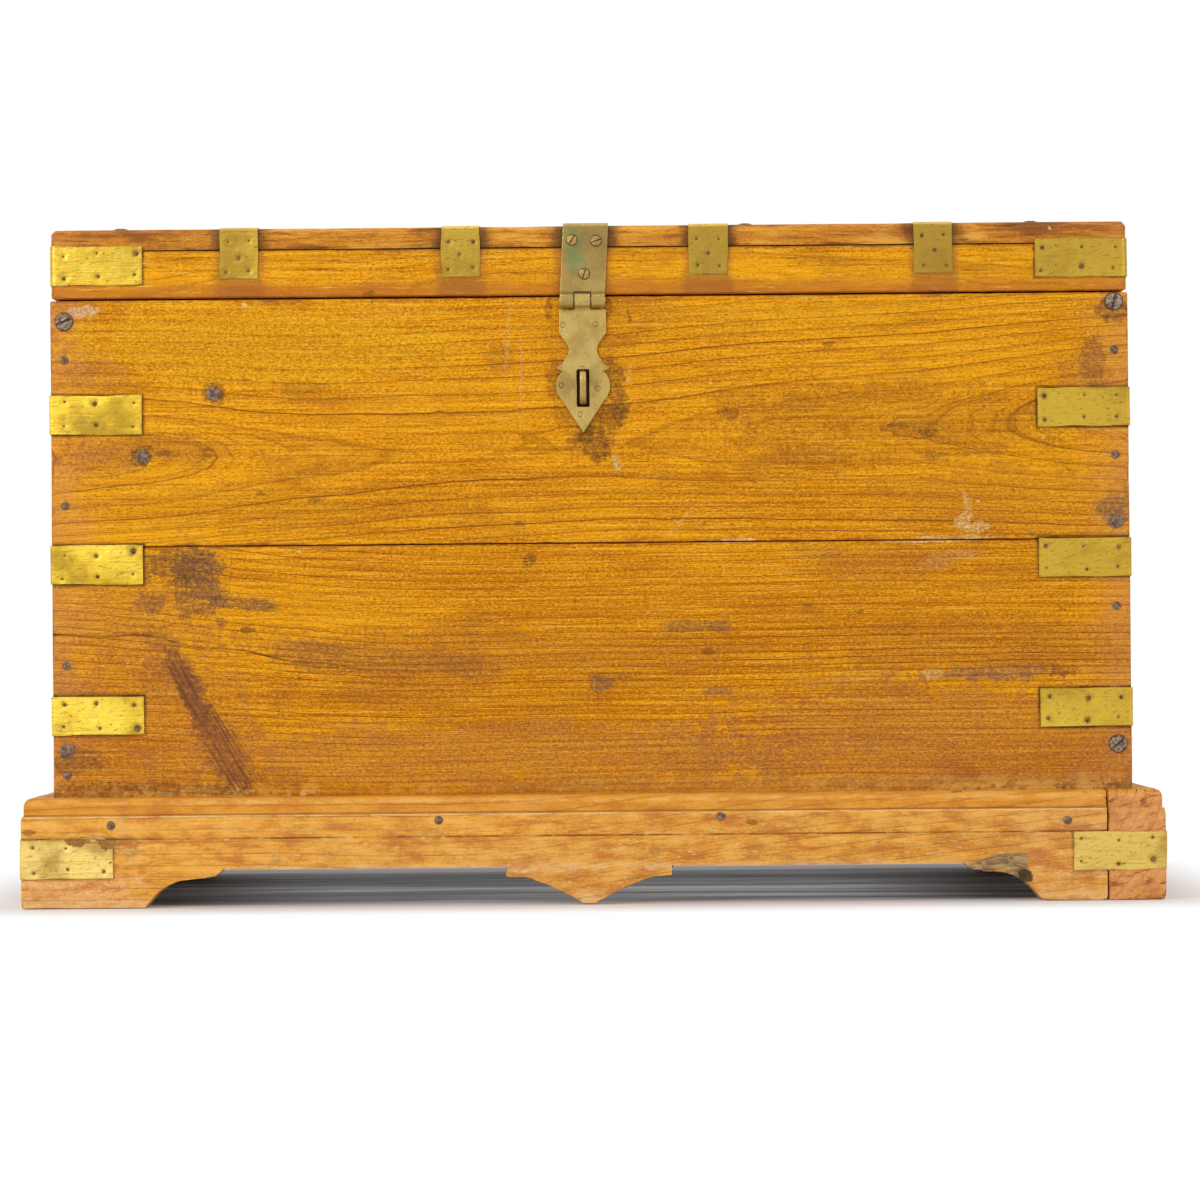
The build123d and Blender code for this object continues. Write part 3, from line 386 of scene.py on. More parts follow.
def teak(name, along="x", pith=(0.0, 0.06), spacing=0.007, rings=None, tone=0.0, red=0.0,
         marks=(), halos=(), halo_width=3.2, box=None, rubbed=1.0, foot=None, seed=0.0,
         dull=0.0, extra=None):
    """Teak with growth rings round a pith that runs along one axis.

    pith is where the pith lies across and through the board, rings a function that gives the
    distance from it instead. marks are stains, and a painted shadow among them (x, z, half width,
    half height, colour, strength, turn), halos the middles of straps with a dark band round them,
    all in millimetres, box the node whose arrises are worn, rubbed how much, foot the height of a
    dirty band at the bottom edge, and extra a function that adds what only this board has."""
    s = Shader(name, along, seed)
    u, v, w = s.axes
    drift = s.grain(2.3, 5.0, 5.0, 2.0) - 0.5
    wobble = s.grain(14, 45, 45, 2.0) - 0.5
    shiver = s.grain(60, 260, 260, 1.0) - 0.5
    distance = rings(s) if rings else length(v - pith[0], w - pith[1])
    phase = (distance + drift * 0.022 + wobble * 0.0017) / spacing + shiver * 0.11
    white = s.node("ShaderNodeTexWhiteNoise", noise_dimensions="1D")
    s.put(white.inputs["W"], s.math("FLOOR", phase) + seed * 3.1)
    chance = V(s, white.outputs["Value"])
    part = s.math("FRACT", phase)
    thin = s.smooth(part, 0.11, 0.0) + s.smooth(part, 0.96, 1.0)
    patchy = s.grain(5, 30, 30, 2.0)
    lines = thin * s.smooth(patchy, 0.3, 0.62, 1.0, 0.4) * s.smooth(chance, 0.1, 0.9, 1.1, 0.25)
    fine = s.smooth(s.math("FRACT", phase * 3.37 + wobble), 0.3, 0.0)
    fine = fine * s.smooth(patchy, 0.62, 0.35, 0.6, 0.15)

    fibre = s.grain(5, 330, 330, 5.0, 0.72)
    streak = s.grain(13, 640, 640, 3.0, 0.65)
    pore = s.grain(190, 1100, 1100, 2.0, 0.65)
    cloud = s.grain(3.4, 9, 9, 4.0, 0.6)
    blotch = s.grain(11, 26, 26, 5.0, 0.68)
    mottle = s.grain(420, 700, 700, 3.0, 0.7)
    ragged = (s.blobs(78.0, 7.0, 0.8) - 0.5) * 3.9 + (streak - 0.5) * 0.8
    speck = s.blobs(310.0, 2.0, 0.6)
    rub = s.blobs(42.0, 3.0, 0.6)

    tint = (cloud - 0.5) * 2.7 + (fibre - 0.5) * 3.0 + (mottle - 0.5) * 2.5 + 0.3 + tone
    s.colour = s.mix(s.math("ADD", tint, 0.0, clamp=True), GOLD, AMBER)
    s.lay(BROWN, blotch, 0.5, 0.74, 0.6 + red)
    if red:
        s.lay(PINK, red)
    s.lay(BROWN, s.smooth(part, 0.45, 1.0, 0.42) * 0.75)
    s.lay((160, 88, 12), streak, 0.54, 0.7, 0.6)
    s.lay((255, 196, 62), streak, 0.46, 0.3, 0.6)
    s.lay((150, 84, 16), mottle, 0.52, 0.68, 0.4)
    s.lay((255, 206, 84), mottle, 0.46, 0.32, 0.35)
    s.lay(LINE, fine * 0.7)
    s.lay(LINE, s.math("MULTIPLY", lines, 0.95, clamp=True))
    s.lay((116, 60, 12), pore, 0.58, 0.72, 0.65)

    if box:
        low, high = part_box(box)
        order = {"x": (0, 2, 1), "y": (1, 2, 0), "t": (0, 1, 2)}[along]
        near_end, near_edge, near_face = (
            least(place - float(low[axis]), float(high[axis]) - place)
            for place, axis in zip((u, v, w), order)
        )
        s.lay(PINK, near_end + (rub - 0.5) * 0.05, 0.042, 0.004, 0.35)
        arris = most(least(near_end, near_edge), least(most(near_end, near_edge), near_face))
        s.lay((150, 92, 48), arris + (rub - 0.5) * 0.012, 0.0022, -0.0012, 0.75 * rubbed)
        s.lay(PALE, arris + ragged * 0.006, -0.001, -0.004, 0.8 * rubbed)
    broken = s.smooth(fibre * 0.6 + streak * 0.4, 0.36, 0.6, 1.0, 0.62)
    broken = broken * s.smooth(ragged, 0.9, 0.1, 1.0, 0.4) * s.smooth(speck, 0.4, 0.56, 1.0, 0.5)
    darker = s.smooth(mottle, 0.4, 0.62)
    for x, z, half_wide, half_high, shade, strength, *turn in marks:
        patch = blot(s, u, v, x, z, half_wide, half_high, ragged, *turn)
        shade = s.mix(darker, shade, tuple(c * 0.78 for c in shade))
        s.lay(shade, patch * broken * strength)
    for x, z in halos:
        beside = most(abs(abs(u) - x / 1000) - STRAP_HALF[0] / 1000, 0.0)
        above = most(abs(v - z / 1000) - STRAP_HALF[1] / 1000, 0.0)
        # A dark band round each strap.
        dirt_and_shading = s.smooth(length(beside, above), halo_width / 1000, 0.0)
        s.lay((76, 44, 20), dirt_and_shading * s.smooth(rub, 0.3, 0.6, 1.0, 0.45) * 0.95)
    if foot is not None:
        band = s.smooth(v + (rub - 0.5) * 0.022, foot + 0.017, foot - 0.004)
        s.lay((176, 108, 40), band * 0.4)
        s.lay((234, 186, 96), band * s.smooth(ragged * 0.4 + cloud, 0.45, 0.65) * 0.7)
        grubby = s.smooth(cloud, 0.5, 0.66) * s.smooth(speck + rub, 0.98, 1.12)
        s.lay((96, 60, 34), grubby * band * 0.75)
    if extra:
        extra(s, ragged, rub)
    near, chosen = s.cells(26, 62, 62, seed)
    near = near - s.smooth(chosen, 0.7, 1.0, 0.15) - (speck - 0.5) * 0.22
    s.lay((122, 74, 30), near, 0.03, -0.02, 0.6)
    near, chosen = s.cells(40, 46, 46, seed + 9)
    near = near - s.smooth(chosen, 0.8, 1.0, 0.1, -0.02) - (speck - 0.5) * 0.2
    s.lay((240, 192, 118), near, 0.02, -0.02, 0.75)

    rough = s.smooth(rub, 0.25, 0.75, 0.58 + dull, 0.4 + dull) + lines * 0.1
    height = fibre * 0.5 + pore * 0.35 - lines * 0.5 - fine * 0.12 + rub * 0.5
    return s.finish(rough, height, 0.0007, Specular_IOR_Level=0.07)


def front_upper_rings(s):
    """The upper front board's rings: two figures, opening to the left and to the right."""
    u, v, w = s.axes
    deep = s.curve(u, -0.42, 0.42, [(-0.42, 0.4), (-0.3, 0.49), (-0.224, 0.56), (-0.1, 0.62),
                                    (0.013, 0.62), (0.12, 0.565), (0.25, 0.49),
                                    (0.303, 0.42), (0.355, 0.35), (0.42, 0.28)])
    return length(v - (u * 0.03 + 0.3475), w + 0.2 - deep * 0.1)


def front_lower_rings(s):
    """The lower front board's rings: close and level, sweeping down from the upper left."""
    u, v, w = s.axes
    lift = s.smooth(u, -0.12, -0.43) * s.smooth(v, 0.08, 0.27, 0.026, 0.006)
    return length((v - lift) - 0.335, w + 0.2 - 0.085)


def crack_height(x, maximum, wave):
    """Height of the long crack in the lower front board at x, in an array or in a shader."""
    return 0.2035 - maximum(x + 0.345, 0.0) * 0.16 + wave(x * 90) * 0.0012


def scar_frame(x, z):
    """Places along and across the gouged scar on the lower front board, in either of the two."""
    turn = math.radians(-60)
    x, z = x + 0.288, z - 0.138
    return (x * math.cos(turn) + z * math.sin(turn), z * math.cos(turn) - x * math.sin(turn))


def lower_extra(s, ragged, rub):
    """Darkness in and beside the crack, and the strokes of the scar."""
    u, v, w = s.axes
    off = abs(v - crack_height(u, most, sine))
    inside = s.smooth(off, 0.001, 0.0002) * s.smooth(u, -0.12, -0.245)
    s.lay((84, 44, 16), inside * s.smooth(rub, 0.32, 0.56, 0.35, 0.95))
    along, aside = scar_frame(u, v)
    scratched = s.noise(s.vector(along * 22, aside * 520, 4.0), 1.0, 4.0, 0.72)
    reach = s.smooth(abs(along) + (rub - 0.5) * 0.03, 0.066, 0.048)
    width = s.smooth(along, -0.06, 0.05, 0.014, 0.006)
    spread = s.smooth(abs(aside) / width + ragged * 0.35, 1.2, 0.7)
    s.lay((112, 68, 42), s.smooth(scratched, 0.46, 0.58, 0.8, 0.1) * reach * spread)


def upper_extra(s, ragged, rub):
    """The shadow on the board inside the hasp's slot."""
    u, v, w = s.axes
    off = most(abs(u - HASP_X) - 0.0048, abs(v - 0.386) - 0.014)
    s.lay((30, 22, 14), off, 0.001, 0.0, 0.95)


def beside_fittings(u, plate_x, plate_half):
    """Distance along the lid's front from the nearest edge strap or the hasp's plate."""
    straps = [(x, 0.0145) for x in EDGE_STRAPS]
    return reduce(least, [abs(u - x) - half for x, half in straps + [(plate_x, plate_half)]])


def rail_extra(s, ragged, rub):
    """The lid rail: golden with dark splinters above, browned below and beside the fittings."""
    u, v, w = s.axes
    s.lay((190, 112, 40), s.smooth(v + (rub - 0.5) * 0.01, 0.471, 0.461, 0.75) * 0.9)
    splinter = s.grain(34, 420, 420, 4.0, 0.7, 3.0)
    s.lay((112, 62, 16), s.smooth(splinter, 0.56, 0.7, 0.75) * s.smooth(v, 0.462, 0.478))
    s.lay((252, 204, 84), splinter, 0.42, 0.3, 0.6)
    browned = s.smooth(beside_fittings(u, -0.004, 0.018) + ragged * 0.005, 0.007, 0.0, 0.55)
    s.lay((158, 96, 44), browned * s.smooth(w, -0.197, -0.1985))
    s.lay((110, 66, 30), v, 0.4895, 0.4915, 0.45)


def edge_extra(s, ragged, rub):
    """The lid board's front edge: mottled brown and gold, with dark streaks."""
    u, v, w = s.axes
    blotched = s.grain(13, 30, 60, 4.0, 0.65, 1.0)
    streaked = s.grain(20, 60, 380, 4.0, 0.7, 5.0)
    face = s.smooth(v, -0.192, -0.196)
    soiled = s.smooth(beside_fittings(u, -0.002, 0.019) + ragged * 0.006, 0.012, 0.0, 0.85)
    pale = s.smooth(streaked, 0.42, 0.3, 0.6) * s.smooth(blotched, 0.5, 0.4)
    s.lay((196, 122, 60), face * 0.35)
    s.lay((238, 176, 72), s.smooth(blotched, 0.5, 0.36, 0.7) * face)
    s.lay((138, 82, 38), s.smooth(blotched, 0.5, 0.62, 0.8) * face)
    s.lay((112, 64, 28), s.smooth(streaked, 0.52, 0.66, 0.8) * face)
    s.lay((96, 62, 34), soiled * face)
    s.lay((244, 206, 132), pale * face)


# The stains, with one painted shadow among them: x, z, half width and half height in millimetres,
# colour, strength, turn in degrees.
upper_marks = (
    (3, 345, 11, 17, (128, 82, 34), 0.9, 12), (-3, 352, 7, 9, (96, 58, 26), 0.8),
    (20, 384, 7, 24, (136, 86, 38), 0.85, 8), (16, 366, 9, 12, (120, 76, 34), 0.7, -20),
    # The first mark on the next line is painted shadow inside the hasp's slot.
    (-4.8, 387, 8, 17, (38, 26, 14), 1.0), (-26, 392, 6, 16, (150, 90, 34), 0.6),
    (12, 350, 10, 8, (132, 86, 36), 0.6, 30), (20, 330, 3, 6, (232, 190, 120), 0.7, 20),
    (-4.8, 372, 20, 40, (150, 92, 34), 0.5), (30, 396, 1.6, 8, (234, 190, 122), 0.5, -8),
    (-245, 420, 150, 30, (255, 190, 30), 0.6), (110, 438, 110, 14, (252, 182, 30), 0.35),
    (225, 358, 130, 28, (166, 96, 30), 0.55), (-235, 299, 140, 18, (174, 102, 20), 0.4),
    (252, 350, 10, 4, (120, 76, 40), 0.7, 10), (232, 356, 7, 2.5, (124, 80, 40), 0.6),
    (256, 334, 11, 3, (150, 92, 40), 0.5), (320, 300, 100, 24, (184, 110, 40), 0.4),
    (-30, 447, 3, 8, (110, 66, 30), 0.7), (14, 447, 3, 8, (110, 66, 30), 0.6),
    (30, 441, 1.6, 7, (104, 62, 28), 0.7, 12), (-8, 420, 30, 30, (178, 108, 30), 0.35),
    (377, 404, 9, 17, (146, 92, 52), 0.75), (372, 392, 20, 24, (178, 112, 52), 0.5),
    (-367, 400, 26, 12, (184, 112, 62), 0.5), (-330, 342, 62, 10, (178, 108, 50), 0.45),
    (-368, 336, 30, 16, (166, 98, 56), 0.45), (-214, 388, 20, 5, (150, 86, 30), 0.5),
    (-66, 408, 10, 12, (160, 92, 26), 0.45, 60), (104, 366, 9, 4, (140, 84, 34), 0.6),
    (394, 290, 14, 13, (132, 98, 76), 0.8), (394, 443, 14, 10, (92, 60, 42), 0.8),
    (-62, 416, 1.5, 44, (232, 176, 112), 0.42, -3), (-51, 400, 1.3, 30, (232, 176, 112), 0.35),
    (112, 271.6, 12, 1.1, (248, 216, 156), 0.9), (272, 271.8, 28, 1.3, (244, 206, 140), 0.85),
    (283, 296, 3, 9, (240, 196, 124), 0.6, 12), (279, 283, 5, 6, (244, 204, 136), 0.7, -30),
    (290, 279, 8, 4, (244, 206, 140), 0.6, 10), (66, 284, 1.4, 16, (238, 190, 116), 0.5, -42),
    (-382, 447, 13, 4, (236, 200, 160), 0.8, 8), (-150, 444, 40, 4, (240, 176, 60), 0.4),
    (-282, 384.3, 8, 8, (92, 56, 30), 0.75), (-335.5, 337.3, 8, 8, (92, 56, 30), 0.75),
)
lower_marks = (
    (-312, 256, 26, 15, (132, 88, 52), 0.9), (-292, 250, 16, 19, (128, 90, 60), 0.85, 24),
    (-306, 234, 8, 22, (120, 84, 54), 0.85, 8), (-284, 236, 14, 9, (134, 94, 62), 0.85, -28),
    (-332, 227, 12, 9, (128, 90, 62), 0.9), (-291, 222, 9, 6, (114, 80, 56), 0.85),
    (-262, 227, 28, 5, (128, 92, 62), 0.9, -6), (-277, 213, 5, 4, (130, 92, 60), 0.8),
    (-322, 200, 22, 9, (150, 98, 56), 0.6, -24), (-322, 170, 14, 22, (176, 104, 46), 0.5, 30),
    (-309, 178, 18, 8, (124, 80, 52), 0.9, -62), (-299, 160, 22, 9, (122, 80, 54), 0.9, -66),
    (-290, 140, 24, 9, (124, 78, 54), 0.85, -58), (-279, 114, 34, 13, (146, 90, 60), 0.75, -64),
    (-264, 92, 15, 8, (116, 72, 48), 0.8, -60), (-286, 86, 14, 4, (236, 190, 112), 0.6),
    (-330, 130, 80, 70, (184, 108, 56), 0.5), (-345, 215, 60, 34, (186, 112, 58), 0.5),
    (300, 170, 52, 5.0, (158, 120, 84), 0.9, 1), (352, 172, 16, 4, (138, 76, 40), 0.7),
    (256, 170, 9, 4, (236, 196, 130), 0.7), (196, 166, 40, 5, (208, 140, 66), 0.6, 5),
    (72, 207, 17, 4.5, (146, 104, 64), 0.85), (97, 206, 9, 6, (140, 98, 62), 0.8),
    (6, 163, 8, 5.5, (142, 104, 70), 0.85), (20, 170, 22, 3, (150, 96, 46), 0.6),
    (95, 158, 13, 3.2, (150, 110, 72), 0.85), (-46, 258, 5, 5, (120, 80, 34), 0.75),
    (-96, 176, 14, 6, (150, 94, 44), 0.5), (-130, 168, 60, 22, (188, 112, 40), 0.45, 5),
    (-60, 190, 190, 16, (182, 112, 46), 0.4, -2), (290, 190, 110, 22, (176, 100, 42), 0.5),
    (250, 120, 170, 40, (184, 112, 64), 0.6), (-60, 112, 240, 24, (188, 118, 66), 0.55),
    (-214, 188, 30, 12, (164, 104, 56), 0.6, -12), (-150, 182, 70, 12, (170, 106, 52), 0.5, -4),
    (210, 251, 46, 12, (196, 120, 50), 0.5), (170, 262, 22, 5, (166, 112, 62), 0.5),
    (-386, 158, 16, 12, (186, 124, 76), 0.4), (96, 269.3, 16, 0.9, (244, 208, 146), 0.7),
    (250, 269.2, 36, 1.0, (246, 214, 150), 0.8), (268, 256, 20, 6, (222, 164, 100), 0.5, 15),
    (-388, 110, 22, 9, (120, 78, 52), 0.6), (-330, 88, 90, 5, (128, 84, 50), 0.65),
    (120, 88, 200, 5, (224, 172, 92), 0.5), (384, 82, 30, 10, (206, 140, 96), 0.5),
)

teak_upper = teak(
    "teak_front_upper", rings=front_upper_rings, marks=upper_marks, seed=0.3,
    halos=((370.5, 369), (370.5, 256.5)), box="carcase_front_upper", extra=upper_extra,
)
teak_lower = teak(
    "teak_front_lower", rings=front_lower_rings, spacing=0.0046, marks=lower_marks, seed=1.7,
    halos=((370.5, 256.5), (370.5, 143.6)), box="carcase_front_lower", tone=0.12, foot=0.0825,
    extra=lower_extra,
)
teak_lid_rail = teak(
    "teak_lid_rail", pith=(0.455, -0.125), spacing=0.0062, seed=4.2, tone=-0.45,
    halos=((369.5, 481.2),), halo_width=2.6, box="lid_rail_front", extra=rail_extra,
)


def teak_board(name, node, along, seed, offset, **more):
    """Generic teak for a board: its pith lies off to one side of it."""
    low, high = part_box(node)
    middle = (low + high) / 2
    across, deep = {"x": (2, 1), "y": (2, 0), "t": (1, 2)}[along]
    below = middle[deep] - math.copysign(0.055, middle[deep])
    if along == "t":
        below = low[deep] - 0.06
    return teak(name, along=along, pith=(middle[across] + offset, below), seed=seed, box=node,
                **more)


# ---- wooden pieces ----------------------------------------------------------------------

def wooden(node, body, material, soft, cell, seed, heavy=1.0, carve=None, rows=()):
    """A worn board in place of a CAD board: the same box, chipped, with softened edges.

    soft is how far, in millimetres, at the low and high end of X, of Y and of Z."""
    low, high = (np.array(c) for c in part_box(node))
    soft = np.reshape(soft, (3, 2)) * MM
    points, faces, normal, flat, edge = grid_box(low, high, soft, cell, ((), (), rows))
    depth = wear(flat, edge, seed, heavy)
    if carve:
        depth = depth + carve(flat)
    name = f"{node}_worn"
    mesh = new_mesh(name, points - normal * depth[:, None], faces)
    adopt(name, mesh, body, "teak", material, 40, node)


def dent_depth(flat, dents):
    """Depth of the round dents in the front face."""
    total = np.zeros(len(flat))
    on_face = np.abs(flat[:, 1] - FRONT) < 1e-6
    for x, z, radius, deep in dents:
        far = np.hypot(flat[:, 0] - x, flat[:, 2] - z)
        total += np.where(on_face, deep * bump(far, radius), 0)
    return total


upper_dents = scattered_dents(60, (-0.39, 0.28), (0.39, 0.45), 0.0006)
lower_dents = scattered_dents(70, (-0.39, 0.09), (0.39, 0.26), 0.0007)


def carve_upper(flat):
    """Dents, and the splintered lower edge near the joint."""
    depth = dent_depth(flat, upper_dents)
    low = bump(flat[:, 2] - 0.270, 0.003) * (flat[:, 1] < FRONT + 0.001)
    for x, half in ((0.112, 0.010), (0.272, 0.024), (-0.2, 0.012)):
        depth += 0.0016 * low * bump(flat[:, 0] - x, half)
    return depth


def carve_lower(flat):
    """Dents, the long crack, the gouged scar, the rough foot of the board and a hollow."""
    x, z = flat[:, 0], flat[:, 2]
    along, aside = scar_frame(x, z)
    rough = noise(flat, (240, 1, 60), 5) + 1
    marks = 0.0007 * bump(z - crack_height(x, np.maximum, np.sin), 0.0007) * (x < -0.21)
    marks += 0.0004 * rough * bump(aside, 0.006) * (np.abs(along) < 0.062)
    marks += 0.0005 * rough * bump(z - 0.0845, 0.006)
    marks += 0.0008 * bump(x - 0.300, 0.05) * bump(z - 0.170, 0.004)
    return dent_depth(flat, lower_dents) + marks * (flat[:, 1] < FRONT + 0.0005)


fine = 0.0030
wooden("carcase_front_upper", "chest", teak_upper, (1.6, 1.6, 1.6, 0.4, 0.9, 1.4),
       (fine, 0.008, fine), 11, carve=carve_upper)
wooden("carcase_front_lower", "chest", teak_lower, (1.6, 1.6, 1.6, 0.4, 0.4, 0.9),
       (fine, 0.008, fine), 12, carve=carve_lower, rows=tuple(np.arange(0.178, 0.207, 0.0007)))
wooden("lid_rail_front", "lid", teak_lid_rail, (3.5, 3.5, 3.5, 0.4, 1.3, 0.5),
       (fine, 0.006, 0.0025), 13)
for name, seed, offset, soft_y, extra in (("front", 6.1, 0.03, (4.5, 0.7), edge_extra),
                                          ("back", 9.1, -0.04, (0.7, 4.5), None)):
    node = f"lid_board_{name}"
    lid_teak = teak_board(f"teak_lid_{name}", node, "t", seed, offset, tone=0.1, red=0.12,
                          extra=extra)
    wooden(node, "lid", lid_teak, (4.0, 4.0, *soft_y, 0.5, 4.5), (0.004, 0.005, 0.004),
           21 + (name == "back"), heavy=1.3)

BOARDS = (  # node, body, the axis its grain follows, how far off its pith is, softened ends
    ("carcase_back_upper", "chest", "x", 0.02, (1.6, 1.6, 0.4, 1.6, 0.9, 1.4)),
    ("carcase_back_lower", "chest", "x", -0.05, (1.6, 1.6, 0.4, 1.6, 0.4, 0.9)),
    ("carcase_left_upper", "chest", "y", 0.03, (0.9, 0.4, 0.3, 0.3, 0.9, 1.4)),
    ("carcase_left_lower", "chest", "y", -0.04, (0.9, 0.4, 0.3, 0.3, 0.4, 0.9)),
    ("carcase_right_upper", "chest", "y", -0.01, (0.4, 0.9, 0.3, 0.3, 0.9, 1.4)),
    ("carcase_right_lower", "chest", "y", 0.05, (0.4, 0.9, 0.3, 0.3, 0.4, 0.9)),
    ("lid_rail_back", "lid", "x", 0.04, (3.5, 3.5, 0.4, 3.5, 1.3, 0.5)),
    ("lid_rail_left", "lid", "y", 0.03, (1.2, 0.4, 0.3, 0.3, 1.3, 0.5)),
    ("lid_rail_right", "lid", "y", -0.03, (0.4, 1.2, 0.3, 0.3, 1.3, 0.5)),
    ("bottom_board_front", "chest", "t", 0.03, (0.3, 0.3, 0.7, 0.7, 0.3, 0.8)),
    ("bottom_board_middle", "chest", "t", -0.02, (0.3, 0.3, 0.7, 0.7, 0.3, 0.8)),
    ("bottom_board_back", "chest", "t", 0.04, (0.3, 0.3, 0.7, 0.7, 0.3, 0.8)),
    ("bottom_cleat_front", "chest", "x", 0.03, (0.3, 0.3, 0.4, 1.2, 1.2, 0.4)),
    ("bottom_cleat_back", "chest", "x", 0.03, (0.3, 0.3, 1.2, 0.4, 1.2, 0.4)),
    ("till_wall", "chest", "y", 0.02, (0.6, 0.6, 0.3, 0.3, 0.4, 2.8)),
    ("till_bottom", "chest", "y", 0.0, (0.3, 0.3, 0.3, 0.3, 0.3, 0.3)),
    ("lid_batten_left", "lid", "y", 0.0, (2.0, 2.0, 0.4, 0.4, 2.0, 0.4)),
    ("lid_batten_right", "lid", "y", 0.0, (2.0, 2.0, 0.4, 0.4, 2.0, 0.4)),
)
for number, (node, body, along, offset, soft) in enumerate(BOARDS, 1):
    inside = node.startswith(("bottom", "till", "lid_batten"))
    material = teak_board(f"teak_{node}", node, along, number * 1.37, offset,
                          spacing=0.0052 + 0.0006 * (number % 4), tone=0.05 * (number % 3),
                          dull=0.08 if inside else 0.0, rubbed=0.4 if inside else 0.8,
                          foot=0.0825 if "lower" in node else None)
    wooden(node, body, material, soft, (0.006, 0.006, 0.005), 40 + number,
           heavy=0.5 if inside else 1.0)


# ---- plinth -----------------------------------------------------------------------------

def sliced(node, spacing):
    """A copy of a CAD mesh cut into cells: the points, their outward directions and their
    distances from sharp edges."""
    bm = bmesh.new()
    bm.from_mesh(nodes[node].data)
    bmesh.ops.remove_doubles(bm, verts=bm.verts, dist=1e-6)
    bmesh.ops.dissolve_limit(bm, angle_limit=0.01, verts=bm.verts[:], edges=bm.edges[:])
    low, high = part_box(node)
    for axis in range(3):
        count = max(1, round((high[axis] - low[axis]) / spacing[axis]))
        direction = Vector([1.0 if a == axis else 0.0 for a in range(3)])
        for i in range(1, count):
            place = Vector(low)
            place[axis] += (high[axis] - low[axis]) * i / count
            bmesh.ops.bisect_plane(bm, geom=bm.verts[:] + bm.edges[:] + bm.faces[:],
                                   dist=1e-5, plane_co=place, plane_no=direction)
    bmesh.ops.remove_doubles(bm, verts=bm.verts, dist=1e-5)
    bm.normal_update()
    sharp = {v for e in bm.edges if len(e.link_faces) == 2 and e.calc_face_angle(0) > 0.5
             for v in e.verts}
    tree = KDTree(len(sharp))
    for i, v in enumerate(sharp):
        tree.insert(v.co, i)
    tree.balance()
    edge = np.array([tree.find(v.co)[2] for v in bm.verts])
    points = np.array([v.co[:] for v in bm.verts])
    normal = np.array([v.normal[:] for v in bm.verts])
    return bm, points, normal, edge


def slanting_rings(s):
    """The front plinth board's rings, running up to the right across its face."""
    u, v, w = s.axes
    slope = s.smooth(u, -0.25, 0.1, 0.13, 0.02)
    return length(v - slope * u - 0.155, w + 0.2215 - 0.07)


def plinth_front_extra(s, ragged, rub):
    """The scribed line, worn pale edges along the cut-out, and the moulding, with painted shade in
    its quirk and painted highlights along its step and top edge.
    """
    u, v, w = s.axes
    nicks = s.grain(90, 300, 300, 3.0, 0.7, 0.0)
    patches = s.grain(32, 90, 90, 5.0, 0.7, 0.0)
    s.lay((255, 196, 106), patches, 0.52, 0.38, 0.6, 0.25)
    s.lay((200, 118, 58), patches, 0.5, 0.64, 0.75)
    s.lay((216, 138, 34), v, 0.0685, 0.0715, 0.4)
    scribe = s.smooth(abs(v - 0.0518), 0.001, 0.0003)
    s.lay((128, 74, 30), scribe * s.smooth(rub, 0.35, 0.6, 0.9, 0.25))
    # Painted shade in the quirk at the foot of the moulding.
    s.lay((134, 80, 34), abs(v - 0.0695), 0.0012, 0.0003, 0.6)
    # Painted highlights: pale lines along the moulding's step and its top edge, broken up by noise.
    lip = s.smooth(abs(v - 0.0682), 0.0009, 0.0002)
    s.lay((246, 206, 146), lip * s.smooth(nicks + rub, 0.9, 1.1, 0.7, 0.1))
    arris = s.smooth(abs(v - 0.0785) + (rub - 0.5) * 0.006, 0.003, 0.0, 0.35)
    s.lay((252, 210, 130), arris * s.smooth(nicks + rub, 0.9, 1.1, 1.0, 0.1))
    above = abs(v - 0.028 + (rub - 0.5) * 0.008 + (nicks - 0.5) * 0.006)
    top = s.smooth(above, 0.005, 0.0005, 0.8) * s.smooth(abs(u), 0.29, 0.27)
    edge = most(top, s.smooth(v + (rub - 0.5) * 0.01, 0.012, 0.004, 0.8))
    s.lay((240, 196, 136), edge * s.smooth(nicks, 0.42, 0.6, 0.9, 0.25))
    s.lay((246, 206, 146), s.smooth(nicks, 0.6, 0.72) * s.smooth(v, 0.066, 0.05) * 0.7)
    chipped = ragged * 0.3 + (nicks - 0.5) * 1.2
    torn = s.mix(s.smooth(nicks, 0.42, 0.58), (186, 156, 108), (132, 104, 72))
    s.lay(torn, blot(s, u, v, 301, 29, 25, 6, chipped, 10) * 0.95)
    s.lay(torn, blot(s, u, v, 315, 24, 9, 10, chipped) * 0.95)
    s.lay((58, 46, 36), blot(s, u, v, 321, 19, 6, 4.5, chipped, -40) * 0.9)


def end_grain(s, ragged, rub):
    """The right board's sawn end at the front: mottled, with slanting dark strokes."""
    u, v, w = s.axes
    face = s.smooth(u, -0.217, -0.2195)
    strokes = s.noise(s.vector(w * 60 + v * 110, v * 240 - w * 60, 2.0), 1.0, 4.0, 0.7)
    patches = s.noise(s.vector(w * 45, v * 60, 7.0), 1.0, 4.0, 0.65)
    s.lay((236, 166, 104), face * 0.75)
    s.lay((194, 120, 68), s.smooth(patches, 0.48, 0.64, 0.55) * face)
    s.lay((128, 72, 42), s.smooth(strokes, 0.53, 0.66, 0.8) * face)
    s.lay((244, 196, 132), s.smooth(strokes, 0.42, 0.32, 0.5) * face)
    s.lay((96, 60, 38), s.smooth(w, 0.385, 0.3835, 0.5) * face)


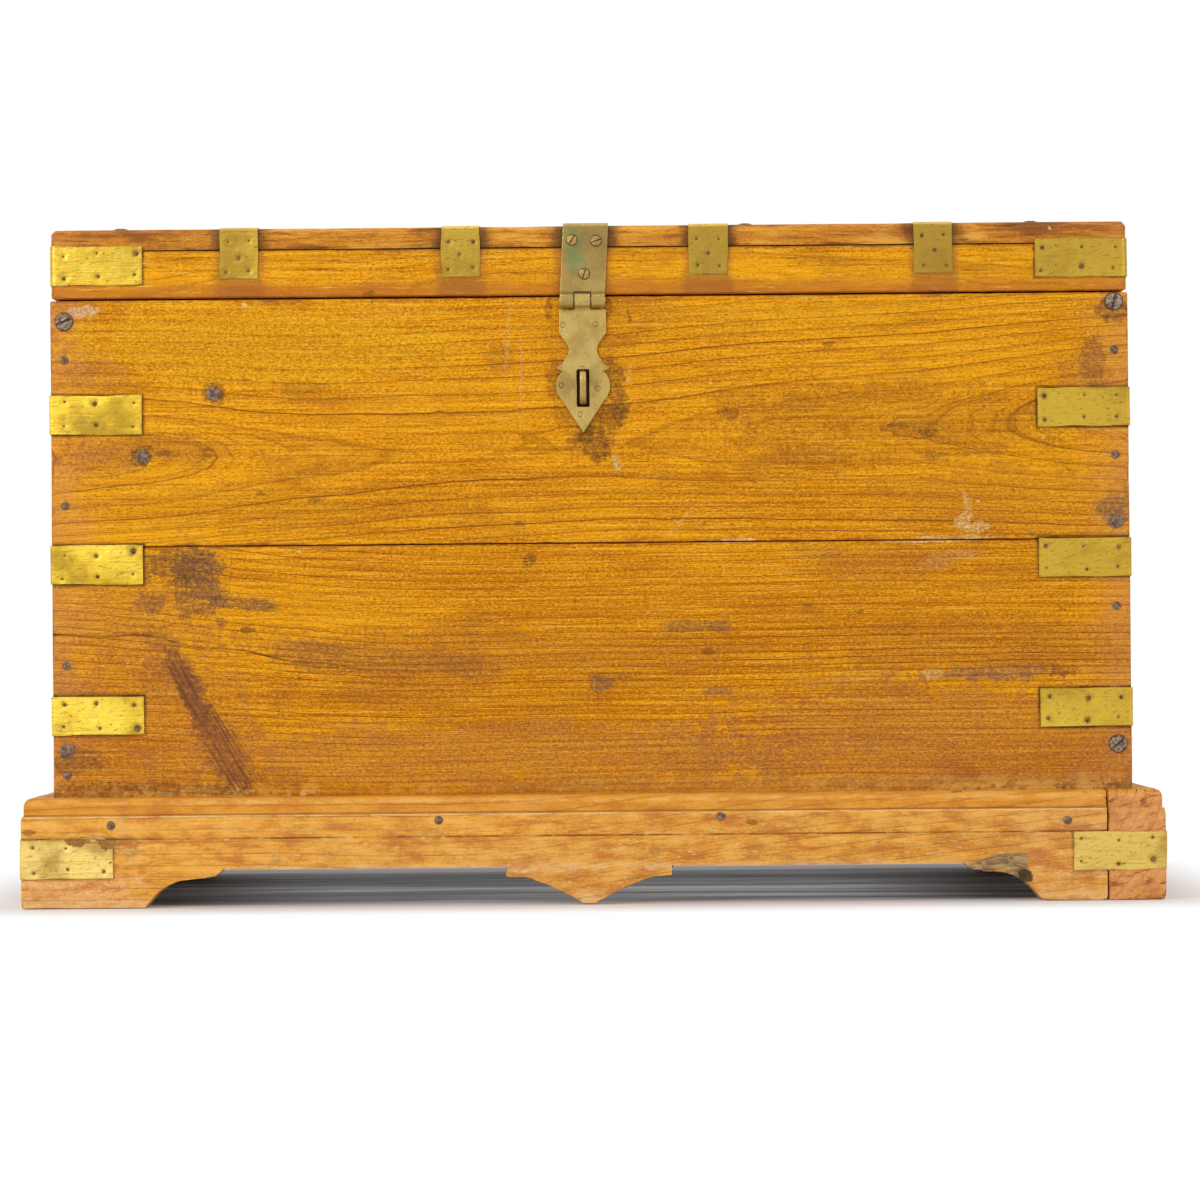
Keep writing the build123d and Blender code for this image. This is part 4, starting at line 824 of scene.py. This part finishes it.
plinth_marks = (
    (-384, 49, 9, 5, (84, 62, 42), 1.0), (-361, 47, 8, 7, (78, 58, 40), 1.0),
    (-371, 51, 20, 3, (92, 68, 46), 1.0), (-346, 46, 9, 8, (120, 78, 50), 0.8, 20),
    (340, 60, 60, 10, (206, 126, 70), 0.6), (330, 44, 34, 14, (204, 124, 70), 0.6, 20),
    (-120, 54, 8, 4, (160, 96, 44), 0.6), (-236, 37, 4, 4, (96, 66, 44), 0.7),
    (45, 40, 4, 4, (96, 66, 44), 0.7), (213, 42, 4, 4, (96, 66, 44), 0.7),
    (-100, 40, 150, 8, (226, 160, 84), 0.4), (160, 62, 160, 5, (204, 128, 44), 0.5),
    (-3, 14, 34, 9, (196, 124, 62), 0.6), (-3, 6, 14, 6, (214, 160, 84), 0.5),
    (-385, 17, 44, 15, (254, 196, 142), 0.9), (350, 48, 60, 14, (216, 142, 72), 0.5, 8),
    (-400, 9, 24, 7, (196, 118, 74), 0.5), (345, 20, 40, 14, (226, 160, 104), 0.6),
    (-352, 66, 5, 12, (188, 128, 80), 0.6), (375, 60, 30, 14, (204, 134, 76), 0.5, -30),
)
plinth_front_teak = {"marks": plinth_marks, "halos": ((392, 37.2),), "halo_width": 3.0,
                     "rings": slanting_rings, "extra": plinth_front_extra}
plinth_spacing = ((0.0032, 0.0045, 0.0032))
for node, along, pith_depth, seed, more in (
    ("plinth_front", "x", -0.09, 2.9, plinth_front_teak), ("plinth_back", "x", 0.09, 8.3, {}),
    ("plinth_left", "y", -0.28, 5.5, {}), ("plinth_right", "y", 0.28, 7.7, {"extra": end_grain}),
):
    bm, points, normal, edge = sliced(node, plinth_spacing)
    depth = wear(points, edge, 60 + int(seed), 1.25)
    if node == "plinth_front":
        depth += 0.0004 * bump(points[:, 2] - 0.0518, 0.0016) * (points[:, 1] < PLINTH_FRONT)
        broken = bump(points[:, 0] - 0.300, 0.021) * bump(points[:, 2] - 0.028, 0.0075)
        depth += broken * (0.0020 + 0.0016 * noise(points, (160, 160, 240), 91))
    moved = points - normal * np.clip(depth, 0, 0.0042)[:, None]
    for vert, place in zip(bm.verts, moved):
        vert.co = place
    mesh = bpy.data.meshes.new(node)
    bm.to_mesh(mesh)
    bm.free()
    material = teak(f"teak_{node}", along=along, pith=(0.115, pith_depth), spacing=0.0068,
                    seed=seed, red=0.25, tone=-0.42, **more)
    adopt(f"{node}_worn", mesh, "chest", "teak", material, 32, node)


# ---- brass and iron ---------------------------------------------------------------------

def sheet_brass(name):
    """Hand-polished sheet brass, clouded and scratched: bright on the left with painted shade
    darkening it to the right, painted shade in its hollows and painted highlights on its raised
    parts.
    """
    s = Shader(name)
    cloud = s.blobs(24.0, 4.0, 0.6)
    brushed = s.grain(30, 30, 620, 3.0, 0.65)
    scored = s.noise(s.vector(s.x * 90 + s.z * 260, s.y * 90, s.z * 520 - s.x * 200), 1.0, 3.0, 0.6)
    dirt_and_shading = s.attribute("dirt_and_shading") + (s.blobs(190.0, 3.0, 0.7) - 0.5) * 0.9
    s.colour = s.mix(s.smooth(cloud * 0.6 + s.blobs(9.0, 2.0) * 0.4, 0.38, 0.6),
                     (252, 218, 78), (214, 172, 40))
    s.lay((255, 236, 120), brushed, 0.44, 0.3, 0.5)
    s.lay((250, 220, 142), s.z, 0.075, 0.05, 0.6)
    # Painted shade: darker towards the right, where less light falls.
    s.lay((192, 156, 52), s.smooth(s.x, -0.25, 0.25) * s.smooth(s.z, 0.1, 0.17, 0.85, 0.45))
    s.lay((172, 138, 52), s.z, 0.45, 0.49, 0.42)
    s.lay((140, 110, 48), s.smooth(abs(s.x), 0.3, 0.29) * s.smooth(s.z, 0.45, 0.46, 0.4))
    s.lay((116, 84, 36), scored, 0.56, 0.68, 0.6)
    s.lay((160, 126, 44), cloud, 0.5, 0.7, 0.7)
    s.lay((166, 126, 34), brushed, 0.52, 0.72, 0.55)
    # Painted highlight on raised parts and on the edge straps' left edges, painted shade in
    # hollows, darker at rims and round nails.
    s.lay((255, 238, 140), dirt_and_shading, -0.08, -0.42, 0.75)
    s.lay((150, 112, 44), dirt_and_shading, 0.15, 0.45, 0.35)
    s.lay((96, 70, 34), dirt_and_shading, 0.45, 1.0, 0.9)
    fleck = s.blobs(260.0, 3.0, 0.65)
    s.lay((104, 72, 34), fleck, 0.64, 0.74, 0.8)
    rough = s.smooth(cloud * 0.5 + brushed * 0.5, 0.3, 0.7, 0.52, 0.3)
    return s.finish(rough, brushed * 0.4 + fleck * 0.3 + cloud * 1.6, 0.0006, Metallic=0.85)


def aged_brass(name, seed=0.0, verdigris=False):
    """Cast brass gone brown-green, bright where it is rubbed; seed 0 is the hasp's own."""
    s = Shader(name, seed=seed)
    cloud = s.blobs(55.0, 4.0, 0.6)
    fleck = s.blobs(520.0, 3.0, 0.7)
    scratch = s.noise(s.vector(s.x * 420 + s.z * 90, s.y * 80, s.z * 160), 1.0, 3.0, 0.6, 0.4)
    s.colour = s.mix(s.smooth(cloud, 0.33, 0.67), (200, 172, 98), (172, 144, 78))
    s.lay((142, 114, 62), s.blobs(22.0, 2.0), 0.45, 0.7, 0.35)
    s.lay((128, 100, 54), s.grain(900, 900, 300, 2.0, 0.6), 0.5, 0.7, 0.3)
    s.lay((216, 186, 110), scratch, 0.58, 0.72, 0.5)
    s.lay((92, 70, 38), fleck, 0.62, 0.74, 0.7)
    if verdigris:
        ragged = (s.blobs(160.0, 4.0, 0.7) - 0.5) * 1.8
        green = s.mix(s.smooth(cloud, 0.4, 0.6), (120, 150, 86), (88, 128, 84))
        s.lay((132, 104, 58), s.z, 0.452, 0.5, 0.6, 0.35)
        for x, z, half_wide, half_high in ((-12, 498, 9, 7), (-11, 489, 6, 13), (-7, 478, 6, 8)):
            patch = blot(s, s.x, s.z, x, z, half_wide, half_high, ragged, soft=0.5)
            s.lay(green, patch * s.smooth(fleck, 0.3, 0.6, 0.5, 0.25))
    if seed == 0.0:
        s.lay((92, 68, 36), s.attribute("dirt_and_shading"), 0.35, 0.9, 0.8)
        off = abs(s.x - HASP_X)
        sides = s.smooth(abs(off - 0.0063), 0.0011, 0.0005)
        sides = sides * s.smooth(abs(s.z - 0.4518), 0.0062, 0.0052)
        top = s.smooth(abs(s.z - 0.4578), 0.0013, 0.0005)
        top = top * s.smooth(off, 0.0064, 0.0072, 0.4, 1.0)
        s.lay((44, 32, 18), most(sides, top) * 0.85)
        worn = V(s, s.node("ShaderNodeNewGeometry").outputs["Pointiness"])
        s.lay((232, 204, 130), worn, 0.51, 0.58, 0.75)
        s.lay((96, 74, 42), worn, 0.49, 0.44, 0.7)
    rough = s.smooth(cloud, 0.3, 0.7, 0.55, 0.34)
    return s.finish(rough, cloud + fleck * 0.4 + scratch * 0.3, 0.0004, Metallic=0.8)


def slotted_brass(name):
    """Brass screws with dirt in their slots and round their heads."""
    s = Shader(name)
    cloud = s.blobs(300.0, 3.0, 0.6)
    proud = most(most(abs(s.y) - 0.202, s.z - 0.5105), abs(s.x) - 0.4075)
    s.colour = s.mix(s.smooth(cloud, 0.35, 0.65), (196, 158, 96), (154, 122, 68))
    s.lay((62, 46, 26), proud, 0.0005, 0.00041, 0.85)
    return s.finish(s.smooth(cloud, 0.3, 0.7, 0.55, 0.36), cloud, 0.0003, Metallic=0.7)


def iron(name, light, dark, seed=0.0, metal=0.45, slotted=False):
    """Old iron, mottled dark and light with rusty patches; screws have dark slots and pale pits."""
    s = Shader(name, seed=seed)
    cloud = s.blobs(420.0, 4.0, 0.65)
    pit = s.blobs(1300.0, 2.0, 0.6)
    s.colour = s.mix(s.smooth(cloud, 0.35, 0.68), dark, light)
    s.lay((120, 72, 40), s.blobs(150.0, 3.0), 0.5, 0.7, 0.6)
    if slotted:
        s.lay((40, 28, 20), abs(s.y), 0.2012, 0.2006, 0.85)
        s.lay((206, 186, 160), pit, 0.56, 0.68, 0.6)
    return s.finish(s.smooth(cloud, 0.3, 0.7, 0.42, 0.62), cloud + pit * 0.6, 0.0005,
                    Metallic=metal)


brass_sheet = sheet_brass("brass_sheet")
hasp_brass = aged_brass("hasp_brass")
plate_brass = aged_brass("hasp_plate_brass", verdigris=True)
fitting_brass = aged_brass("fitting_brass", seed=3.0)
screw_brass = slotted_brass("screw_brass")
iron_head = iron("iron_head", (150, 124, 98), (84, 62, 46))
screw_head = iron("screw_head", (176, 150, 122), (84, 60, 44), 1.0, 0.5, slotted=True)
nail_head = iron("strap_nail_head", (136, 106, 60), (62, 46, 28), 2.0, 0.5)


# ---- brass straps and their nails -------------------------------------------------------

STRAP_HEIGHT = 0.029
STRAP_LEG = 0.069
STRAP_STEP = 0.0015  # from one row of points to the next along a strap
STRAP_POINTS = 22  # across a strap


def strap_sheet(name, stops, across, body, nails, seed, *stands_for, torn=None):
    """A thin sheet along stops, which are places with outward directions: its two faces,
    dimpled at the nails and slightly crumpled, and without the cells that torn picks."""
    n, m = len(stops), STRAP_POINTS
    path, direction = np.repeat(stops, m, axis=0).transpose(1, 0, 2)
    up = np.tile(np.linspace(-0.5, 0.5, m), n)
    run = np.repeat(np.arange(n) / (n - 1), m)
    flat = path + across * (up * STRAP_HEIGHT)[:, None]
    broad, small = noise(flat, 45, seed), noise(flat, 120, seed + 1)
    slide = np.sign(up) * (np.abs(up) > 0.499) * 0.0007 * noise(flat, 55, seed)
    rim = np.minimum(0.5 - np.abs(up), np.minimum(run, 1 - run) * 4.5)
    height = 0.00062 + 0.00016 * broad + 0.0001 * small
    height += 0.00018 * bump(rim, 0.04) * noise(flat, 70, seed + 2)
    # Painted shade in the hollows and a painted highlight on the raised parts; darker at the rims
    # and round the nails.
    dirt_and_shading = 0.45 * bump(rim, 0.03) - 0.25 * broad - 0.15 * small
    # A painted highlight along the left edge of each lid edge strap.
    if across[0] > 0.5:
        dirt_and_shading -= 0.9 * bump(up + 0.44, 0.06)
    for centre, _, size in nails:
        far = np.linalg.norm(flat - centre, axis=1)
        height -= 0.00045 * bump(far, 0.0012 + 0.9 * size)
        height += 0.00012 * bump(far - 0.0025 - size, 0.0012)
        dirt_and_shading = np.maximum(dirt_and_shading, 1.1 * bump(far, size * 1.5))
    under = flat + direction * 0.00001 + across * slide[:, None]
    top = under + direction * (np.clip(height, 0.0001, 0.00098) - 0.00001)[:, None]

    first = (np.arange(n - 1)[:, None] * m + np.arange(m - 1)).ravel().tolist()
    sheet = [(a, a + 1, a + 1 + m, a + m) for a in first
             if not (torn and torn(flat[a], flat[a + 1 + m]))]
    back = [tuple(i + n * m for i in reversed(face)) for face in sheet]
    edges = Counter((face[k], face[(k + 1) % 4]) for face in sheet for k in range(4))
    sides = [(b, a, a + n * m, b + n * m) for a, b in edges if (b, a) not in edges]
    mesh = new_mesh(name, np.concatenate([top, under]), sheet + back + sides)
    soiled = mesh.attributes.new("dirt_and_shading", "FLOAT", "POINT")
    soiled.data.foreach_set("value", np.tile(dirt_and_shading, 2))
    adopt(name, cleaned(mesh), body, "strap_brass", brass_sheet, 45, *stands_for)


def bent_path(half_x, half_y, bend, z, sx, sy):
    """Stops of a strap's inner face round the corner at (sx, sy), at height z."""
    straight = np.arange(STRAP_LEG, bend, -STRAP_STEP)
    stops = [((half_x - t, half_y, z), (0, 1, 0)) for t in straight]
    for angle in np.radians(np.linspace(90, 0, 8)):
        c, s = math.cos(angle), math.sin(angle)
        stops.append(((half_x - bend + bend * c, half_y - bend + bend * s, z), (c, s, 0)))
    stops += [((half_x, half_y - t, z), (1, 0, 0)) for t in straight[::-1]]
    return np.array(stops) * (sx, sy, 1)


def path_over_edge(x, front_leg=0.038, top_leg=0.062, bend=0.0045):
    """Stops of a lid edge strap's inner face, up the lid's front and back along its top."""
    stops = [((x, FRONT, LID_TOP - t), (0, -1, 0))
             for t in np.arange(front_leg, bend, -STRAP_STEP)]
    for angle in np.radians(np.linspace(0, 90, 9)):
        c, s = math.cos(angle), math.sin(angle)
        stops.append(((x, FRONT + bend - bend * c, LID_TOP - bend + bend * s), (0, -c, s)))
    stops += [((x, FRONT + t, LID_TOP), (0, 0, 1))
              for t in np.arange(bend + STRAP_STEP, top_leg, STRAP_STEP)]
    return np.array(stops)


def nail_places(half_x, half_y, z, sx, sy):
    """A corner strap's twelve nails: places on its face, outward directions and sizes."""
    places = []
    for step in (0.010, 0.0345, 0.063):
        for dz in (-0.0085, 0.0085):
            for side in (0, 1):
                dx, dv = rng.uniform(-0.0018, 0.0018, 2)
                size = rng.choice([0.0009, 0.0012, 0.0016, 0.0021], p=[0.3, 0.35, 0.25, 0.1])
                at = (sx * (half_x - step + dx), sy * half_y, z + dz + dv)
                if side:
                    at = (sx * half_x, sy * (half_y - step + dx), z + dz + dv)
                places.append((np.array(at), ((0, sy, 0), (sx, 0, 0))[side], size))
    return places


def nail_heads(name, places, body, stands_for, proud=0.0005, sunk=0.0004):
    """Low domed heads, each a little uneven, as one piece."""
    points, faces = [], []
    around, rings = 14, 4
    for centre, outward, size in places:
        outward = np.array(outward, float)
        centre = centre + outward * 0.0002
        side = np.cross(outward, (0.3, 0.5, 0.81))
        side /= np.linalg.norm(side)
        other = np.cross(outward, side)
        tip = proud * rng.uniform(0.6, 1.1)
        base = len(points)
        points.append(centre + outward * tip)
        for t in np.arange(1, rings + 1) / rings:
            lift = tip * math.sqrt(1 - (t * 0.97) ** 2) if t < 1 else -sunk
            for a in np.arange(around) * 2 * math.pi / around:
                spread = size * t * (1 + 0.08 * math.sin(a * 3 + base))
                points.append(centre + outward * lift
                              + side * spread * math.cos(a) + other * spread * math.sin(a))
        points.append(centre - outward * sunk)
        for a in range(around):
            b = (a + 1) % around
            first, rim = base + 1, base + 1 + (rings - 1) * around
            faces.append((base, first + a, first + b))
            for p in range(first, rim, around):
                q = p + around
                faces.append((p + a, q + a, q + b, p + b))
            faces.append((rim + a, len(points) - 1, rim + b))
    mesh = cleaned(new_mesh(name, points, faces))
    adopt(name, mesh, body, "strap_nail", nail_head, 60, stands_for)


def torn_edge(a, c):
    """True for a cell in the missing top edge of the front left plinth strap."""
    if a[1] > PLINTH_FRONT:
        return False
    x, z = (a[0] + c[0]) / 2 * 1000, (a[2] + c[2]) / 2 * 1000
    drop = max(deep * math.exp(-(((x - centre) / half) ** 4))
               for centre, half, deep in ((-384, 8.0, 5.0), (-361.5, 6.5, 7.5), (-372, 14, 2.2)))
    return z > 37.2 + 14.5 - drop


CORNERS = (("front_left", -1, -1), ("front_right", 1, -1), ("back_left", -1, 1),
           ("back_right", 1, 1))
CORNER_STRAPS = (  # height, half the width and depth it goes round, bend, body
    (0.3690, 0.405, 0.2, 0.0016, "chest"), (0.2565, 0.405, 0.2, 0.0016, "chest"),
    (0.1436, 0.405, 0.2, 0.0016, "chest"), (0.0372, 0.4265, 0.2215, 0.0018, "chest"),
    (0.4812, 0.404, 0.2, 0.0035, "lid"),
)
LARGE_HEADS = {("front_left", 0.1436): (8, 0.0030), ("front_left", 0.2565): (10, 0.0026)}
nails = {"chest": [], "lid": []}
seed = 100
for corner, sx, sy in CORNERS:
    for z, half_x, half_y, bend, body in CORNER_STRAPS:
        places = nail_places(half_x, half_y, z, sx, sy)
        if (corner, z) in LARGE_HEADS:
            which, size = LARGE_HEADS[(corner, z)]
            places[which] = (*places[which][:2], size)
        nails[body] += places
        seed += 7
        name, stands_for = f"strap_{corner}_{round(z * 1000)}", ()
        if z == CORNER_STRAPS[0][0]:
            stands_for = (f"corner_straps_{corner}",)
        if body == "lid":
            name, stands_for = f"lid_strap_{corner}", (f"lid_corner_strap_{corner}",)
        torn = torn_edge if (corner, z) == ("front_left", 0.0372) else None
        strap_sheet(name, bent_path(half_x, half_y, bend, z, sx, sy), np.array([0.0, 0.0, 1.0]),
                    body, places, seed, *stands_for, torn=torn)

for number, x in enumerate(EDGE_STRAPS):
    places = []
    for dx, dz in ((-0.0085, 0.032), (0.0085, 0.032), (-0.0085, 0.0105), (0.0085, 0.0105),
                   (0.0, 0.0212)):
        jx, jz, size = rng.uniform((-0.0014, -0.0014, 0.0008), (0.0014, 0.0014, 0.0016))
        places.append((np.array((x + dx + jx, FRONT, LID_TOP - dz + jz)), (0, -1, 0), size))
    for dx, dy in ((-0.0085, 0.0105), (0.0085, 0.0105), (-0.0085, 0.056), (0.0085, 0.056)):
        places.append((np.array((x + dx, FRONT + dy, LID_TOP)), (0, 0, 1), 0.0012))
    nails["lid"] += places
    strap_sheet(f"lid_edge_strap_{number + 1}", path_over_edge(x), np.array([1.0, 0.0, 0.0]),
                "lid", places, 300 + 9 * number, *(() if number else ("lid_edge_straps",)))
for body, places in nails.items():
    nail_heads(f"strap_nail_heads_{body}", places, body, f"strap_nails_{body}")


# ---- hasp, staple and the other fittings ------------------------------------------------

def reworked(node, body, voxel, material, change=None, smoothing=2):
    """A CAD shape remeshed finely, its edges eased, with small marks pressed into it."""
    temp = bpy.data.objects.new("rework", nodes[node].data.copy())
    bpy.context.collection.objects.link(temp)
    remesh = temp.modifiers.new("remesh", "REMESH")
    remesh.mode, remesh.voxel_size = "VOXEL", voxel
    ease = temp.modifiers.new("ease", "SMOOTH")
    ease.factor, ease.iterations = 0.5, smoothing
    bpy.context.view_layer.update()
    depsgraph = bpy.context.evaluated_depsgraph_get()
    mesh = bpy.data.meshes.new_from_object(temp.evaluated_get(depsgraph))
    bpy.data.objects.remove(temp)
    points, normal = np.zeros((2, len(mesh.vertices) * 3))
    mesh.vertices.foreach_get("co", points)
    mesh.vertices.foreach_get("normal", normal)
    points, normal = points.reshape(-1, 3), normal.reshape(-1, 3)
    marks = change(points, normal) if change else np.zeros(len(points))
    depth = 0.00006 * (noise(points, 160, 3) + 1) + marks
    struck = mesh.attributes.new("dirt_and_shading", "FLOAT", "POINT")
    struck.data.foreach_set("value", marks / RING_DEPTH)
    mesh.vertices.foreach_set("co", (points - normal * depth[:, None]).ravel())
    mesh.materials.clear()
    mesh.update()
    adopt(f"{node}_worn", mesh, body, "aged_brass", material, 60, node)


RING_DEPTH = 0.00028


def ring_marks(points, normal):
    """Small struck rings with a dot in the middle."""
    depth = np.zeros(len(points))
    for x, z in ((-19.4, 433.5), (5.0, 433.8), (-5.6, 400.4), (-20.7, 388.2), (6.2, 385.6),
                 (-7.0, 366.2)):
        far = np.hypot(points[:, 0] - x / 1000, points[:, 2] - z / 1000)
        depth += RING_DEPTH * bump(far - 0.0019, 0.00045) + 0.0003 * bump(far, 0.0006)
    return depth * (normal[:, 1] < -0.6)


voxel = 0.00036
reworked("hasp_strap", "hasp", voxel, hasp_brass, ring_marks)
reworked("hasp_plate", "lid", voxel * 1.15, plate_brass)
reworked("staple", "chest", 0.0005, hasp_brass, smoothing=6)

pairs = [f"{name}_{side}" for name in ("hinge_chest_leaf", "hinge_lid_leaf", "handle_plate",
                                       "handle_bail") for side in ("left", "right")]
for material, names in (
    (teak("teak_blocks", along="z", pith=(0.3, 0.1), seed=9.4, red=0.1, dull=0.1),
     ["plinth_corner_blocks"]),
    (fitting_brass, ["hasp_pin"] + pairs),
    (screw_brass, ["lid_hardware_screws", "chest_hardware_screws"]),
    (screw_head, ["carcase_screws"]),
    (iron_head, ["hinge_pins", "carcase_nails", "lid_nails"]),
):
    for name in names:
        slots = nodes[name].material_slots
        if not slots:
            nodes[name].data.materials.append(material)
        for item in slots:
            item.material = material


# ---- floor, light and camera ------------------------------------------------------------

def placed(name, data):
    """A new object in the scene."""
    made = bpy.data.objects.new(name, data)
    bpy.context.collection.objects.link(made)
    return made


def seen(tree):
    """1 where a ray comes from the camera, a reflection or through glass."""
    path = tree.nodes.new("ShaderNodeLightPath")
    total = path.outputs["Is Camera Ray"]
    for name in ("Is Glossy Ray", "Is Transmission Ray"):
        either = tree.nodes.new("ShaderNodeMath")
        either.operation = "MAXIMUM"
        tree.links.new(total, either.inputs[0])
        tree.links.new(path.outputs[name], either.inputs[1])
        total = either.outputs[0]
    return total


floor_mesh = new_mesh("floor", [(-9, -9, 0), (9, -9, 0), (9, 9, 0), (-9, 9, 0)], [(0, 1, 2, 3)])
placed("floor", floor_mesh)
s = Shader("floor")
# Under the chest the floor has a painted shadow with streaks and a painted glow in the streaks;
# elsewhere it shows plain white to the camera.
far = length(most(abs(s.x) - 0.43, 0.0), most(abs(s.y) - 0.225, 0.0))
streaks = s.noise(s.vector(s.x * 1.6, s.y * 17, 0.0), 1.0, 5.0, 0.7)
behind = s.smooth(s.y, 0.205, 0.235)
inside = most(abs(s.x) - 0.4 + behind * 0.03, abs(s.y - 0.05) - 0.25)
inside = s.smooth(inside, 0.012, -0.04)
painted_shadow = s.mix(s.smooth(streaks, 0.36, 0.64), (84, 78, 74), (200, 186, 176))
painted_shadow = s.mix(s.smooth(s.y, 0.08, 0.2, 0.85), painted_shadow, (44, 44, 47))
painted_shadow = s.mix(behind * 0.9, painted_shadow, (136, 135, 138))
s.put(s.bsdf.inputs["Base Color"], s.mix(inside, (238, 237, 236), painted_shadow))
s.bsdf.inputs["Roughness"].default_value = 0.6
s.bsdf.inputs["Specular IOR Level"].default_value = 0.1
glow = s.node("ShaderNodeEmission")
glow.inputs["Strength"].default_value = 1.0
away = s.smooth(far, 0.0, 0.1, 1.0, 0.12) * s.smooth(inside, 1.0, 0.0)
# A painted glow in the streaks under the chest.
sheen = s.smooth(streaks, 0.4, 0.66, 0.29, 0.11) * s.smooth(s.y, -0.02, 0.13, 0.35, 1.0)
away = away + inside * sheen * s.smooth(abs(s.x + 0.01), 0.17, 0.34, 0.15, 1.0)
blend = s.node("ShaderNodeMixShader", away * V(s, seen(s.tree)), s.bsdf.outputs[0],
               glow.outputs[0])
s.put(s.tree.nodes["Material Output"].inputs["Surface"], blend.outputs[0])
floor_mesh.materials.append(s.material)

world = bpy.data.worlds.new("studio")
bpy.context.scene.world = world
world.use_nodes = True
tree = world.node_tree
background = tree.nodes["Background"]
background.inputs["Color"].default_value = (1, 1, 1, 1)
strength = tree.nodes.new("ShaderNodeMapRange")
tree.links.new(seen(tree), strength.inputs[0])
strength.inputs["To Min"].default_value = 0.62
strength.inputs["To Max"].default_value = 1.0
tree.links.new(strength.outputs[0], background.inputs["Strength"])

for name, place, aim, size, power in (
    ("key", (-1.7, -2.2, 1.5), (0, 0, 0.25), (1.4, 1.2), 26),
    ("fill", (2.0, -2.2, 1.0), (0, 0, 0.25), (1.2, 1.2), 9),
    ("top", (0, 0.3, 2.4), (0, 0, 0.3), (2.0, 1.4), 16),
):
    light = bpy.data.lights.new(name, "AREA")
    light.shape, light.size, light.size_y, light.energy = "RECTANGLE", *size, power
    lamp = placed(name, light)
    lamp.location = place
    lamp.rotation_euler = (Vector(aim) - Vector(place)).to_track_quat("-Z", "Y").to_euler()

camera_data = bpy.data.cameras.new("camera")
camera_data.sensor_width, camera_data.lens = 36, 120
camera = placed("camera", camera_data)
camera.location = (0.0065, -3.2, 0.197)
aim = Vector((0.0065, -0.2, 0.227)) - camera.location
camera.rotation_mode = "QUATERNION"
tilt = Quaternion((0, 0, 1), math.radians(-0.5))
camera.rotation_quaternion = aim.to_track_quat("-Z", "Y") @ tilt
bpy.context.scene.camera = camera
bpy.context.scene.view_settings.view_transform = "Standard"
